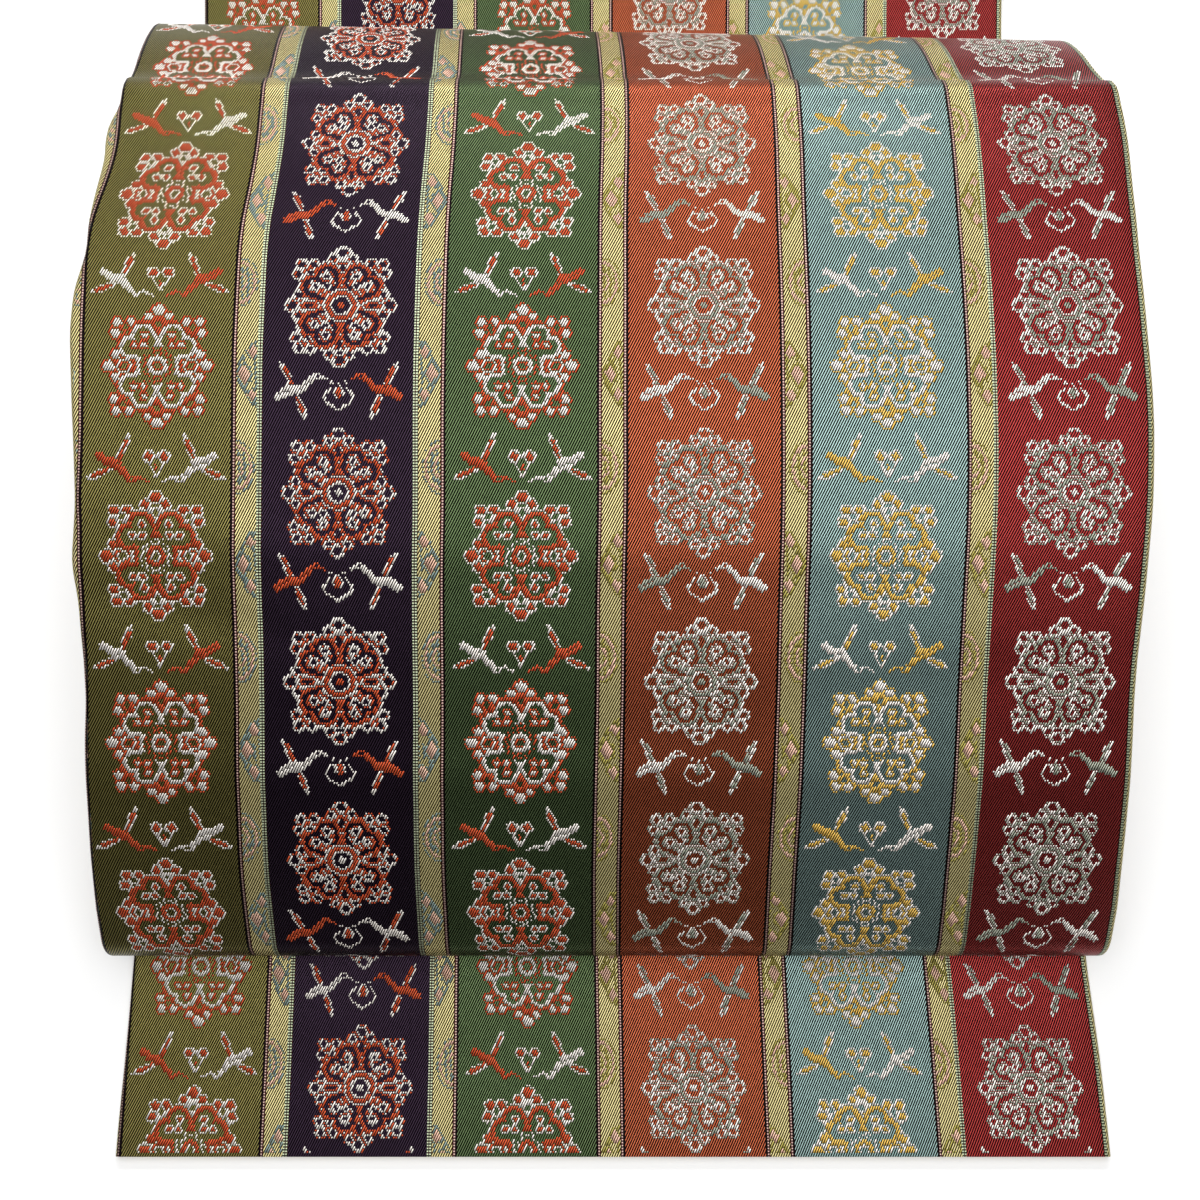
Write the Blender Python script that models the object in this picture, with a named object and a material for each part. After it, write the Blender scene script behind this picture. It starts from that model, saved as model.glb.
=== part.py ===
"""Obi sash laid out in its drum form.

One woven band runs through every piece. It starts at the free end of the tail, goes back under
the drum to a hidden fold, returns forward on top of itself, rolls up through the drum's bottom
fold, climbs the slope and the roof, drops down the back wall and runs on as the strap over the
folded remainder. Metres, +Z up, the patterned side of the drum facing up, the tail towards -Y.
"""

import math
from collections import namedtuple

import bmesh
import bpy
from mathutils import Vector

MM = 0.001

# The cloth.
HALF_WIDTH = 155.7 * MM
WALL = 2.4 * MM
SEAM = 0.3 * MM
COLUMNS = 11  # points across each face of the wall
EDGE_STEPS = 4  # facets round each side edge of the wall
DRUM_SPACING = 8 * MM  # between the drum's cross-sections
STRAP_SPACING = 12 * MM

# The tail, and the layer that comes back over it.
TAIL_TOP = WALL
HIDDEN_FOLD_Y = 350.2 * MM  # from the tail's free end
HIDDEN_FOLD_RADIUS = 1.2 * MM  # of the patterned face, inside the fold
LAYER_SETTLES = 30 * MM  # how far from that fold the returning layer comes down onto the tail
LAYER_FACE = TAIL_TOP + SEAM

# The drum's bottom fold: a soft round roll that stands on the returning layer.
ROLL_RADIUS = 10.7 * MM
ROLL_CENTRE_Y = 72.4 * MM
ROLL_END_ANGLE = 122.5  # degrees, where the roll runs into the slope

# The foot of the back wall, where the cloth turns out along the surface.
FOOT_RADIUS = 9 * MM
FOOT_CENTRE_Y = 388.2 * MM

# The folded remainder under the strap.
LAYERS = 6
LAYER_GAP = 0.2 * MM
FAR_END_Y = 866 * MM  # outside of the last fold
EDGE_GROOVE = 1.0 * MM  # how far the stack's side falls back between two layers
STACK_CORNER = 1.6 * MM
STACK_TOP = LAYERS * WALL + (LAYERS - 1) * LAYER_GAP
STRAP_TOP = STACK_TOP + SEAM + WALL
LAST_FOLD_RADIUS = (STRAP_TOP - STACK_TOP + WALL) / 2  # of the patterned face, outside the fold
STACK_MEETS_STRAP = FAR_END_Y - LAST_FOLD_RADIUS - SEAM

# One row for each place along the drum and the strap: distance back from the tail's free end,
# height of the patterned face, sideways drift of the band, width of the soft roll at the left
# edge, and how far the left edge lies behind the middle. Millimetres.
Place = namedtuple("Place", "back height drift roll slant")
DRUM_PLACES = (
    Place(back=76.0, height=28.3, drift=-1.1, roll=0.3, slant=0.0),
    Place(back=85.4, height=34.2, drift=-1.1, roll=0.4, slant=0.0),
    Place(back=109.0, height=46.0, drift=-0.6, roll=0.5, slant=0.0),
    Place(back=137.5, height=57.4, drift=0.0, roll=0.6, slant=0.0),
    Place(back=165.6, height=67.1, drift=0.2, roll=2.4, slant=0.0),
    Place(back=193.5, height=75.2, drift=0.7, roll=2.9, slant=0.0),
    Place(back=222.0, height=81.5, drift=0.7, roll=3.3, slant=0.0),
    Place(back=252.2, height=84.8, drift=0.8, roll=3.4, slant=0.0),
    Place(back=285.5, height=84.3, drift=1.0, roll=3.4, slant=0.0),
    Place(back=306.0, height=82.4, drift=1.5, roll=4.0, slant=0.0),
    Place(back=322.0, height=80.3, drift=1.6, roll=1.0, slant=0.2),
    Place(back=329.5, height=79.2, drift=1.5, roll=0.4, slant=0.4),
    Place(back=332.6, height=77.5, drift=1.4, roll=0.5, slant=0.5),
    Place(back=335.2, height=74.3, drift=1.2, roll=1.0, slant=0.6),
    Place(back=339.0, height=71.6, drift=1.1, roll=1.8, slant=0.8),
    Place(back=347.5, height=66.0, drift=0.7, roll=2.0, slant=1.3),
    Place(back=358.6, height=57.8, drift=0.1, roll=2.0, slant=2.0),
    Place(back=366.0, height=50.6, drift=-0.5, roll=1.6, slant=2.4),
    Place(back=371.2, height=42.0, drift=-1.0, roll=1.0, slant=2.2),
    Place(back=374.8, height=32.0, drift=-1.4, roll=0.6, slant=1.6),
    Place(back=377.6, height=21.0, drift=-1.8, roll=0.4, slant=1.0),
)
STRAP_PLACES = (
    Place(back=397.0, height=3.1, drift=-2.4, roll=0.2, slant=0.0),
    Place(back=405.0, height=4.6, drift=-2.5, roll=0.2, slant=0.0),
    Place(back=415.3, height=7.1, drift=-2.5, roll=0.2, slant=0.0),
    Place(back=428.7, height=10.4, drift=-2.4, roll=0.2, slant=0.0),
    Place(back=443.0, height=13.6, drift=-2.2, roll=0.2, slant=0.0),
    Place(back=457.0, height=16.6, drift=-2.0, roll=0.2, slant=0.0),
    Place(back=467.0, height=17.8, drift=-1.8, roll=0.2, slant=0.0),
    Place(back=478.0, height=STRAP_TOP / MM, drift=-1.6, roll=0.2, slant=0.0),
    Place(back=545.0, height=STRAP_TOP / MM + 0.8, drift=-0.6, roll=0.6, slant=0.0),
    Place(back=630.0, height=STRAP_TOP / MM + 0.1, drift=0.1, roll=1.2, slant=0.0),
    Place(back=715.0, height=STRAP_TOP / MM + 0.7, drift=0.5, roll=0.7, slant=0.0),
    Place(back=800.0, height=STRAP_TOP / MM, drift=0.7, roll=0.2, slant=0.0),
    Place(back=855.0, height=STRAP_TOP / MM, drift=0.8, roll=0.2, slant=0.0),
)

# One row for each fold of the stack, from the bottom: the layers it joins, counted from 0, where
# its tip lies, and how far it has slipped sideways. Millimetres. The last layer's far end has no
# row, because the strap's last fold runs into it.
Fold = namedtuple("Fold", "low high back slip")
NEAR_FOLDS = (
    Fold(low=0, high=1, back=432.0, slip=1.2),
    Fold(low=2, high=3, back=447.0, slip=-1.0),
    Fold(low=4, high=5, back=481.0, slip=0.6),
)
FAR_FOLDS = (
    Fold(low=0, high=0, back=858.0, slip=0.9),
    Fold(low=1, high=2, back=863.5, slip=0.2),
    Fold(low=3, high=4, back=862.0, slip=-0.5),
)

# Colour, roughness and metallic value of each piece.
Finish = namedtuple("Finish", "colour roughness metallic")
FINISHES = {
    "tail_stretch": Finish((0.52, 0.065, 0.013), 0.55, 0.0),
    "return_stretch": Finish((0.61, 0.47, 0.14), 0.6, 0.0),
    "drum_stretch": Finish((0.50, 0.060, 0.012), 0.55, 0.0),
    "strap_stretch": Finish((0.47, 0.060, 0.012), 0.55, 0.0),
    "folded_remainder": Finish((0.58, 0.44, 0.13), 0.6, 0.0),
}

# A point of the band's course: Station.back and .height are the patterned face in metres.
Station = namedtuple("Station", "back height drift roll slant")


def clear_scene():
    """Remove what a new file holds."""
    for item in list(bpy.data.objects):
        bpy.data.objects.remove(item, do_unlink=True)


def plain(back, height, drift=0.0):
    """A station with straight, square edges."""
    return Station(back, height, drift, 0.0, 0.0)


def arc(centre_back, centre_height, radius, start, end, steps, drift=0.0):
    """Stations round an arc in the side view, angles in degrees from +Y towards +Z."""
    found = []
    for index in range(steps + 1):
        angle = math.radians(start + (end - start) * index / steps)
        found.append(
            plain(centre_back + radius * math.cos(angle), centre_height + radius * math.sin(angle), drift)
        )
    return found


def spline(places, spacing):
    """Stations about spacing apart on a smooth curve through a table's places."""
    rows = [Station(*(value * MM for value in place)) for place in places]
    rows = [rows[0]] + rows + [rows[-1]]
    found = []
    for before, start, end, after in zip(rows, rows[1:], rows[2:], rows[3:]):
        length = math.hypot(end.back - start.back, end.height - start.height)
        steps = max(1, round(length / spacing))
        for index in range(steps):
            found.append(blend(before, start, end, after, index / steps))
    found.append(rows[-2])
    return found


def blend(before, start, end, after, t):
    """One point of the cubic that passes start and end, heeding their chords' lengths."""
    chord = math.hypot(end.back - start.back, end.height - start.height)
    first = math.hypot(start.back - before.back, start.height - before.height) or chord
    last = math.hypot(after.back - end.back, after.height - end.height) or chord
    values = []
    for a, b, c, d in zip(before, start, end, after):
        leave = ((b - a) / first * chord + (c - b) / chord * first) * chord / (first + chord)
        reach = ((c - b) / chord * last + (d - c) / last * chord) * chord / (last + chord)
        values.append(
            (2 * t**3 - 3 * t**2 + 1) * b
            + (t**3 - 2 * t**2 + t) * leave
            + (3 * t**2 - 2 * t**3) * c
            + (t**3 - t**2) * reach
        )
    return Station(*values)


def heading(here, there):
    """Unit direction in the side view from one station to another."""
    return Vector((there.back - here.back, there.height - here.height)).normalized()


def reverse_side(course, index):
    """Direction from the patterned face to the reverse, square to the course at a station."""
    last = len(course) - 1
    if index == 0:
        along = 2 * heading(course[0], course[1]) - heading(course[0], course[2])
    elif index == last:
        along = 2 * heading(course[-2], course[-1]) - heading(course[-3], course[-1])
    else:
        along = heading(course[index - 1], course[index]) + heading(course[index], course[index + 1])
    along.normalize()
    return Vector((along.y, -along.x))


def edge_round(side):
    """Points round one side edge, as (beyond the width, depth in the wall), in wall radii."""
    found = []
    for index in range(1, EDGE_STEPS):
        angle = math.pi * index / EDGE_STEPS
        found.append((math.sin(angle), side * -math.cos(angle)))
    return found


def ring(station, inward, bottom=None):
    """The band's closed cross-section at a station, as 3-D points.

    The patterned face runs from left to right, then the right edge, the reverse from right to
    left, and the left edge. A bottom height flattens what would sink below it.
    """
    half = WALL / 2
    across = []
    flat = HALF_WIDTH - half
    for index in range(COLUMNS):
        across.append((-flat + 2 * flat * index / (COLUMNS - 1), 0.0))
    for beyond, depth in edge_round(1):
        across.append((flat + half * beyond, half * (1 + depth)))
    for index in range(COLUMNS):
        across.append((flat - 2 * flat * index / (COLUMNS - 1), WALL))
    for beyond, depth in edge_round(-1):
        across.append((-flat - half * beyond, half * (1 + depth)))
    points = []
    for u, depth in across:
        side = u / HALF_WIDTH
        roll = station.roll * max(0.0, -side) ** 40
        points.append(
            Vector(
                (
                    station.drift + u - roll,
                    station.back - station.slant * side + inward.x * depth,
                    station.height + inward.y * depth,
                )
            )
        )
    if bottom is not None:
        for point in points:
            point.z = max(point.z, bottom)
    return points


def loft(name, rings):
    """A closed solid through rings of equally many points, capped at both ends."""
    mesh = bmesh.new()
    loops = [[mesh.verts.new(point) for point in points] for points in rings]
    count = len(loops[0])
    for near, far in zip(loops, loops[1:]):
        for index in range(count):
            after = (index + 1) % count
            mesh.faces.new((near[index], near[after], far[after], far[index]))
    mesh.faces.new(list(reversed(loops[0])))
    mesh.faces.new(loops[-1])
    return finish(name, mesh)


def finish(name, mesh):
    """Turn a bmesh into a named object with its own material."""
    bmesh.ops.recalc_face_normals(mesh, faces=mesh.faces)
    bmesh.ops.triangulate(mesh, faces=[face for face in mesh.faces if len(face.verts) > 4])
    data = bpy.data.meshes.new(name)
    mesh.to_mesh(data)
    mesh.free()
    data.shade_smooth()
    data.set_sharp_from_angle(angle=math.radians(50))
    material = bpy.data.materials.new(name + "_cloth")
    material.use_nodes = True
    shader = material.node_tree.nodes["Principled BSDF"]
    look = FINISHES[name]
    shader.inputs["Base Color"].default_value = (*look.colour, 1.0)
    shader.inputs["Roughness"].default_value = look.roughness
    shader.inputs["Metallic"].default_value = look.metallic
    data.materials.append(material)
    made = bpy.data.objects.new(name, data)
    bpy.context.scene.collection.objects.link(made)
    return made


def band(name, course, bottom=None):
    """A stretch of the band as a solid, along its course of stations."""
    return loft(
        name, [ring(station, reverse_side(course, index), bottom) for index, station in enumerate(course)]
    )


def shortened(course, start=0.0, end=0.0):
    """The course with a seam's gap taken off its first and last stations."""
    found = list(course)
    for index, towards, gap in ((0, 1, start), (-1, -2, end)):
        if gap:
            here = found[index]
            there = found[towards]
            share = gap / math.hypot(there.back - here.back, there.height - here.height)
            found[index] = Station(*(a + (b - a) * share for a, b in zip(here, there)))
    return found


def tail_course():
    """The tail, flat on the surface from its free end to the hidden fold."""
    end = HIDDEN_FOLD_Y
    drifts = ((0.0, 0.5), (0.0006, 0.5), (0.03, 0.1), (0.06, -0.4), (0.14, -0.9), (0.25, -1.0), (end, -1.0))
    return [plain(back, TAIL_TOP, drift * MM) for back, drift in drifts]


def tail():
    """The tail with its plain free end, whose corners are eased."""
    course = shortened(tail_course(), end=SEAM)
    rings = [ring(station, Vector((0.0, -1.0))) for station in course]
    middle = TAIL_TOP - WALL / 2
    for point in rings[0]:
        point.z = middle + (point.z - middle) * 0.6
    return loft("tail_stretch", rings)


def return_course():
    """From the hidden fold forward on top of the tail to where the drum's roll starts."""
    radius = HIDDEN_FOLD_RADIUS
    drift = -1.0 * MM
    fold = arc(HIDDEN_FOLD_Y, TAIL_TOP + radius, radius, -90, 90, 10, drift)
    lift = 2 * radius - SEAM
    settle = []
    for index in range(1, 7):
        t = index / 6
        ease = (1 - t) ** 2 * (1 + 2 * t)
        settle.append(plain(HIDDEN_FOLD_Y - LAYER_SETTLES * t, LAYER_FACE + lift * ease, drift))
    flat = [plain(back, LAYER_FACE, drift) for back in (0.25, 0.17, ROLL_CENTRE_Y + 0.008, ROLL_CENTRE_Y)]
    return fold + settle + flat


def drum_course():
    """The roll at the bottom, the slope, the roof with its ridge, the back wall and the foot."""
    roll = arc(
        ROLL_CENTRE_Y, LAYER_FACE + ROLL_RADIUS, ROLL_RADIUS, 270, ROLL_END_ANGLE, 12, -1.1 * MM
    )
    foot = arc(FOOT_CENTRE_Y, TAIL_TOP + FOOT_RADIUS, FOOT_RADIUS, 180, 270, 7, -2.1 * MM)
    return roll + spline(DRUM_PLACES, DRUM_SPACING) + foot


def strap_course():
    """From the foot over the stack's near end, along its top and round the last fold."""
    foot_end = drum_course()[-1]
    start = Place(*(value / MM for value in foot_end))
    top = spline((start,) + STRAP_PLACES, STRAP_SPACING)
    radius = LAST_FOLD_RADIUS
    turn = arc(FAR_END_Y - radius, STRAP_TOP - radius, radius, 90, -90, 10, STRAP_PLACES[-1].drift * MM)
    return top + turn


def stack_levels():
    """Height, groove share and layer of each horizontal outline round the folded stack."""
    shares = ((0.0, 0.75), (0.12, 0.25), (0.5, 0.0), (0.88, 0.25), (1.0, 0.75))
    found = []
    for layer in range(LAYERS):
        base = layer * (WALL + LAYER_GAP)
        for part, groove in shares:
            found.append((base + part * WALL, groove, layer))
        if layer < LAYERS - 1:
            found.append((base + WALL + LAYER_GAP / 2, 1.0, layer))
    return found


def fold_of(folds, layer):
    """The fold in a table that holds a layer, or None."""
    for fold in folds:
        if fold.low <= layer <= fold.high:
            return fold
    return None


def fall_back(fold, height):
    """How far the stack's end falls back from a fold's tip, at a height."""
    span = (fold.high - fold.low + 1) * (WALL + LAYER_GAP) - LAYER_GAP
    centre = fold.low * (WALL + LAYER_GAP) + span / 2
    offset = min(1.0, abs(height - centre) / (span / 2))
    return span / 2 * (1 - 0.96 * math.sqrt(1 - offset**2))


def outline(height, groove, layer):
    """One closed outline round the stack: soft corners, with the sides and ends at their places."""
    near_fold = fold_of(NEAR_FOLDS, layer)
    far_fold = fold_of(FAR_FOLDS, layer)
    near = near_fold.back * MM + fall_back(near_fold, height)
    far = STACK_MEETS_STRAP
    near_slip = near_fold.slip * MM
    far_slip = near_slip
    if far_fold:
        far = far_fold.back * MM - fall_back(far_fold, height)
        far_slip = far_fold.slip * MM
    inset = HALF_WIDTH - groove * EDGE_GROOVE - STACK_CORNER
    points = []
    for side, end, slip, start in (
        (1, near + STACK_CORNER, near_slip, -90),
        (1, far - STACK_CORNER, far_slip, 0),
        (-1, far - STACK_CORNER, far_slip, 90),
        (-1, near + STACK_CORNER, near_slip, 180),
    ):
        for step in range(3):
            angle = math.radians(start + 45 * step)
            points.append(
                Vector(
                    (
                        slip + side * inset + STACK_CORNER * math.cos(angle),
                        end + STACK_CORNER * math.sin(angle),
                        height,
                    )
                )
            )
    return points


def remainder():
    """The rest of the band, folded to and fro into one flat stack under the strap."""
    return loft("folded_remainder", [outline(*level) for level in stack_levels()])


def settle(pieces):
    """Move every piece so that the whole stands on z = 0 with its box centred on the origin."""
    corners = [piece.matrix_world @ vertex.co for piece in pieces for vertex in piece.data.vertices]
    middle_x = (min(c.x for c in corners) + max(c.x for c in corners)) / 2
    middle_y = (min(c.y for c in corners) + max(c.y for c in corners)) / 2
    for piece in pieces:
        for vertex in piece.data.vertices:
            vertex.co -= Vector((middle_x, middle_y, 0.0))


def main():
    """Build the five stretches and centre them."""
    clear_scene()
    pieces = [
        tail(),
        band("return_stretch", return_course()),
        band("drum_stretch", shortened(drum_course(), start=SEAM)),
        band("strap_stretch", shortened(strap_course(), start=SEAM), bottom=0.0),
        remainder(),
    ]
    settle(pieces)


main()
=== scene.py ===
"""Obi sash laid out in its drum form: the cloth, its brocade figures and their finishes.

One woven band runs through every piece. It starts at the free end of the tail, goes back under
the drum to a hidden fold, returns forward on top of itself, rolls up through the drum's bottom
fold, climbs the slope and the roof, drops down the back wall, runs on as the strap and ends in a
stack of folded layers. Metres, +Z up, the tail towards -Y. Places on the cloth are given as
(across, along): millimetres from its middle line, and along it from the tail's free end.
"""

from __future__ import annotations

import logging
import math
from dataclasses import dataclass, field
from enum import IntEnum
from functools import partial
from typing import Callable, NamedTuple, Sequence

import bpy
import numpy as np
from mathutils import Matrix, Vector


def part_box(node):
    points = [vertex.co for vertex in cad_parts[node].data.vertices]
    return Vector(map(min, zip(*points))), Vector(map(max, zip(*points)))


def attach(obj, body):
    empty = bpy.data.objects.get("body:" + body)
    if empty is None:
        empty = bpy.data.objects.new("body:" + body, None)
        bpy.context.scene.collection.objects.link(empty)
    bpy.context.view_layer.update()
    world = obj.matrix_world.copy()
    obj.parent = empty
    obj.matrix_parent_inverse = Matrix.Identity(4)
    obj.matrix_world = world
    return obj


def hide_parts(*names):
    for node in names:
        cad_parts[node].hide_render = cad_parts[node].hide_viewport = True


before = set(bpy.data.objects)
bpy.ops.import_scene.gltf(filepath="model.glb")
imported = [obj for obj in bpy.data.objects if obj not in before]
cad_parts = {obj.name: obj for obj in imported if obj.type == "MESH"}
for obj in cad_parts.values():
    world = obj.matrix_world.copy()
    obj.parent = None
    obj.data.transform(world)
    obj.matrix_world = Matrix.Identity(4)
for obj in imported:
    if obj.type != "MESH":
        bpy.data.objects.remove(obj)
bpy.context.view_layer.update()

log = logging.getLogger("obi")
Array = np.ndarray
Colour = tuple[float, float, float]
Tone = tuple[int, int, int]  # a display colour, each channel from 0 to 255

MM = 0.001
ROOT = "root"
CLOTH_MAP = "cloth"  # the UV map that holds (across, along) in metres
BAKE_MAP = "OFBake"  # the same places laid out flat in the unit square
REVERSE_SHIFT = 1.0  # added to across in the cloth map where the plain reverse shows

# The cloth. Millimetres.
HALF_WIDTH = 155.7
WALL = 2.4
SEAM = 0.3
FLAT_HALF = HALF_WIDTH - WALL / 2  # where the flat faces end and the round side edges start
FACE_COLUMNS = 56  # spaces across the patterned face
LEFT_COLUMNS = (-153.7, -152.8, -151.8, -150.6)  # more places where the left edge rolls
BACK_COLUMNS = 26  # spaces across the reverse
EDGE_STEPS = 8  # facets round each side edge
EDGE_SHARPNESS = 40  # how closely the soft roll keeps to the left edge
SIDE_SOFTNESS = 3  # how far in a selvedge takes the cloth with it as it wanders
FACE_PLACES = np.sort([*np.linspace(-FLAT_HALF, FLAT_HALF, FACE_COLUMNS + 1), *LEFT_COLUMNS])
BACK_PLACES = np.linspace(FLAT_HALF, -FLAT_HALF, BACK_COLUMNS + 1)
EDGE_TURN = np.pi * np.arange(1, EDGE_STEPS) / EDGE_STEPS  # where the facets meet
SHARP_CORNER = math.radians(60)  # between two facets that aren't shaded as one

# The flat map: the patterned face fills the left of the unit square, the reverse its right.
MAP_MARGIN = 0.01
MAP_FACE = 0.80
MAP_REVERSE_FROM = 0.83
MAP_REVERSE = 0.16
MAP_SPARE = 10.0  # millimetres that it keeps beyond each side edge

# The course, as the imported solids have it. Millimetres and degrees.
TAIL_TOP = WALL
HIDDEN_FOLD_BACK = 350.2
HIDDEN_FOLD_RADIUS = 1.2
LAYER_SETTLES = 30.0
LAYER_FACE = TAIL_TOP + SEAM
ROLL_RADIUS = 10.7
ROLL_CENTRE_BACK = 72.4
ROLL_END_ANGLE = 122.5
FOOT_RADIUS = 9.0
FOOT_CENTRE_BACK = 388.2
LAYERS = 6
LAYER_GAP = 0.2
LAYER_PITCH = WALL + LAYER_GAP
FAR_END_BACK = 866.0
STACK_TOP = LAYERS * WALL + (LAYERS - 1) * LAYER_GAP
STRAP_TOP = STACK_TOP + SEAM + WALL
LAST_FOLD_RADIUS = (STRAP_TOP - STACK_TOP + WALL) / 2

# How far the band's middle line has drifted to the right where no table says it.
RETURN_DRIFT = -1.0
ROLL_DRIFT = -1.1
FOOT_DRIFT = -2.1


class Place(NamedTuple):
    """A place of the patterned face along the course. Millimetres, from the tail's free end."""

    back: float
    height: float
    drift: float = 0.0  # of the middle line, to the right
    slant: float = 0.0  # how far forward of the middle line the right edge lies


class Drift(NamedTuple):
    """How far the tail's middle line has drifted to the right. Millimetres."""

    back: float
    drift: float


TAIL_DRIFTS = (
    Drift(0.0, 0.5),
    Drift(30.0, 0.1),
    Drift(60.0, -0.4),
    Drift(140.0, -0.9),
    Drift(250.0, -1.0),
    Drift(351.0, -1.0),
)
DRUM_PLACES = (
    Place(76.0, 28.3, -1.1),
    Place(85.4, 34.2, -1.1),
    Place(109.0, 46.0, -0.6),
    Place(137.5, 57.4, 0.0),
    Place(165.6, 67.1, 0.2),
    Place(193.5, 75.2, 0.7),
    Place(222.0, 81.5, 0.7),
    Place(252.2, 84.8, 0.8),
    Place(285.5, 84.3, 1.0),
    Place(306.0, 82.4, 1.5),
    Place(322.0, 80.3, 1.6, 0.2),
    Place(329.5, 79.2, 1.5, 0.4),
    Place(332.6, 77.5, 1.4, 0.5),
    Place(335.2, 74.3, 1.2, 0.6),
    Place(339.0, 72.4, 1.1, 0.9),
    Place(348.0, 68.6, 0.7, 1.8),
    Place(358.5, 63.0, 0.1, 2.8),
    Place(367.0, 56.6, -0.5, 3.4),
    Place(372.5, 49.0, -1.0, 3.2),
    Place(376.0, 40.0, -1.4, 2.4),
    Place(378.0, 30.0, -1.7, 1.4),
    Place(378.9, 20.5, -1.9, 0.6),
)
STRAP_PLACES = (
    Place(397.0, 3.1, -2.4),
    Place(405.0, 4.6, -2.5),
    Place(415.3, 7.1, -2.5),
    Place(428.7, 10.4, -2.4),
    Place(443.0, 13.6, -2.2),
    Place(457.0, 16.6, -2.0),
    Place(467.0, 17.8, -1.8),
    Place(478.0, STRAP_TOP, -1.6),
    Place(545.0, STRAP_TOP + 0.8, -0.6),
    Place(630.0, STRAP_TOP + 0.1, 0.1),
    Place(715.0, STRAP_TOP + 0.7, 0.5),
    Place(800.0, STRAP_TOP, 0.7),
    Place(855.0, STRAP_TOP, 0.8),
)


class Selvedge(NamedTuple):
    """How the side edges wander. Millimetres, along from the stretch's start."""

    along: float
    left: float  # the left side's shift towards the right
    roll: float  # how much more cloth comes round the left edge into sight
    right: float  # the right side's shift towards the right


SELVEDGES = {
    "tail": (
        Selvedge(0.0, 0.0, 3.4, 0.3),
        Selvedge(15.0, 0.0, 3.2, 0.3),
        Selvedge(30.0, 0.0, 2.7, 0.2),
        Selvedge(45.0, 0.0, 2.4, -0.5),
        Selvedge(60.0, 0.0, 2.2, -0.9),
        Selvedge(100.0, 0.0, 2.2, -0.2),
        Selvedge(351.0, 0.0, 2.0, 0.0),
    ),
    "return": (
        Selvedge(0.0, 0.0, 2.0, 0.0),
        Selvedge(200.0, 0.0, 2.0, -0.3),
        Selvedge(282.0, -0.6, 2.2, 0.0),
    ),
    "drum": (
        Selvedge(0.0, -0.6, 2.4, 0.0),
        Selvedge(12.0, -1.7, 2.7, -0.3),
        Selvedge(38.6, -1.7, 2.6, 0.2),
        Selvedge(50.0, -1.3, 2.3, -0.5),
        Selvedge(69.5, -0.7, 2.5, -1.2),
        Selvedge(94.5, 0.0, 2.8, -2.0),
        Selvedge(106.8, 0.6, 2.5, -2.5),
        Selvedge(118.7, 1.0, 3.0, -2.3),
        Selvedge(136.5, 0.6, 3.6, -1.2),
        Selvedge(142.9, 0.4, 4.5, -0.9),
        Selvedge(148.0, 0.2, 4.8, -0.8),
        Selvedge(157.0, 0.3, 4.3, -0.3),
        Selvedge(166.0, 0.0, 3.5, 0.1),
        Selvedge(186.0, 0.7, 4.9, 0.3),
        Selvedge(199.3, 0.5, 5.5, 0.1),
        Selvedge(216.0, -0.1, 6.1, -0.6),
        Selvedge(228.2, -0.7, 5.4, -0.8),
        Selvedge(241.3, -1.4, 2.2, -0.8),
        Selvedge(250.8, -1.0, 3.2, -0.4),
        Selvedge(265.5, 1.5, 4.9, -0.1),
        Selvedge(274.7, 2.5, 5.3, 0.2),
        Selvedge(280.6, 2.5, 6.3, 0.5),
        Selvedge(288.3, 1.8, 5.3, 0.7),
        Selvedge(292.4, 1.3, 2.7, 0.7),
        Selvedge(306.3, 1.0, 2.4, 0.6),
        Selvedge(321.0, 1.5, 3.1, -1.2),
        Selvedge(345.0, 1.5, 3.0, -1.2),
        Selvedge(376.0, 0.5, 2.2, 0.0),
        Selvedge(409.0, 0.0, 2.0, 0.0),
    ),
    "strap": (
        Selvedge(0.0, 0.0, 2.0, 0.0),
        Selvedge(17.0, 0.0, 2.9, 0.0),
        Selvedge(40.0, 0.0, 2.9, 0.0),
        Selvedge(110.0, 0.5, 2.4, -0.4),
        Selvedge(190.0, -0.4, 3.0, 0.3),
        Selvedge(290.0, 0.5, 2.2, -0.5),
        Selvedge(390.0, -0.3, 2.8, 0.3),
        Selvedge(486.0, 0.0, 2.0, 0.0),
    ),
    "stack": (Selvedge(0.0, 0.0, 2.0, 0.0), Selvedge(2400.0, 0.0, 2.0, 0.0)),
}


class Fold(NamedTuple):
    """Where a fold of the stack has its tip, and how far it has slipped sideways. Millimetres."""

    back: float
    slip: float


# In the order in which the band meets them on its way down the stack.
NEAR_FOLDS = (Fold(481.0, 0.6), Fold(447.0, -1.0), Fold(432.0, 1.2))
FAR_FOLDS = (Fold(862.0, -0.5), Fold(863.5, 0.2))
FREE_END = Fold(858.0, 0.9)


# ---------------------------------------------------------------- the course


def arc(back: float, height: float, radius: float, start: float, end: float, steps: int,
        drift: float) -> list[Place]:
    """Places round an arc in the side view.

    Args:
        back: the centre's distance from the tail's free end.
        height: the centre's height.
        radius: of the patterned face.
        start: first angle, in degrees from +Y towards +Z.
        end: last angle.
        steps: facets round the arc.
        drift: sideways drift.

    Returns:
        The places, with both ends.
    """
    angles = [math.radians(start + (end - start) * (index / steps)) for index in range(steps + 1)]
    return [
        Place(back + radius * math.cos(angle), height + radius * math.sin(angle), drift)
        for angle in angles
    ]


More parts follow.
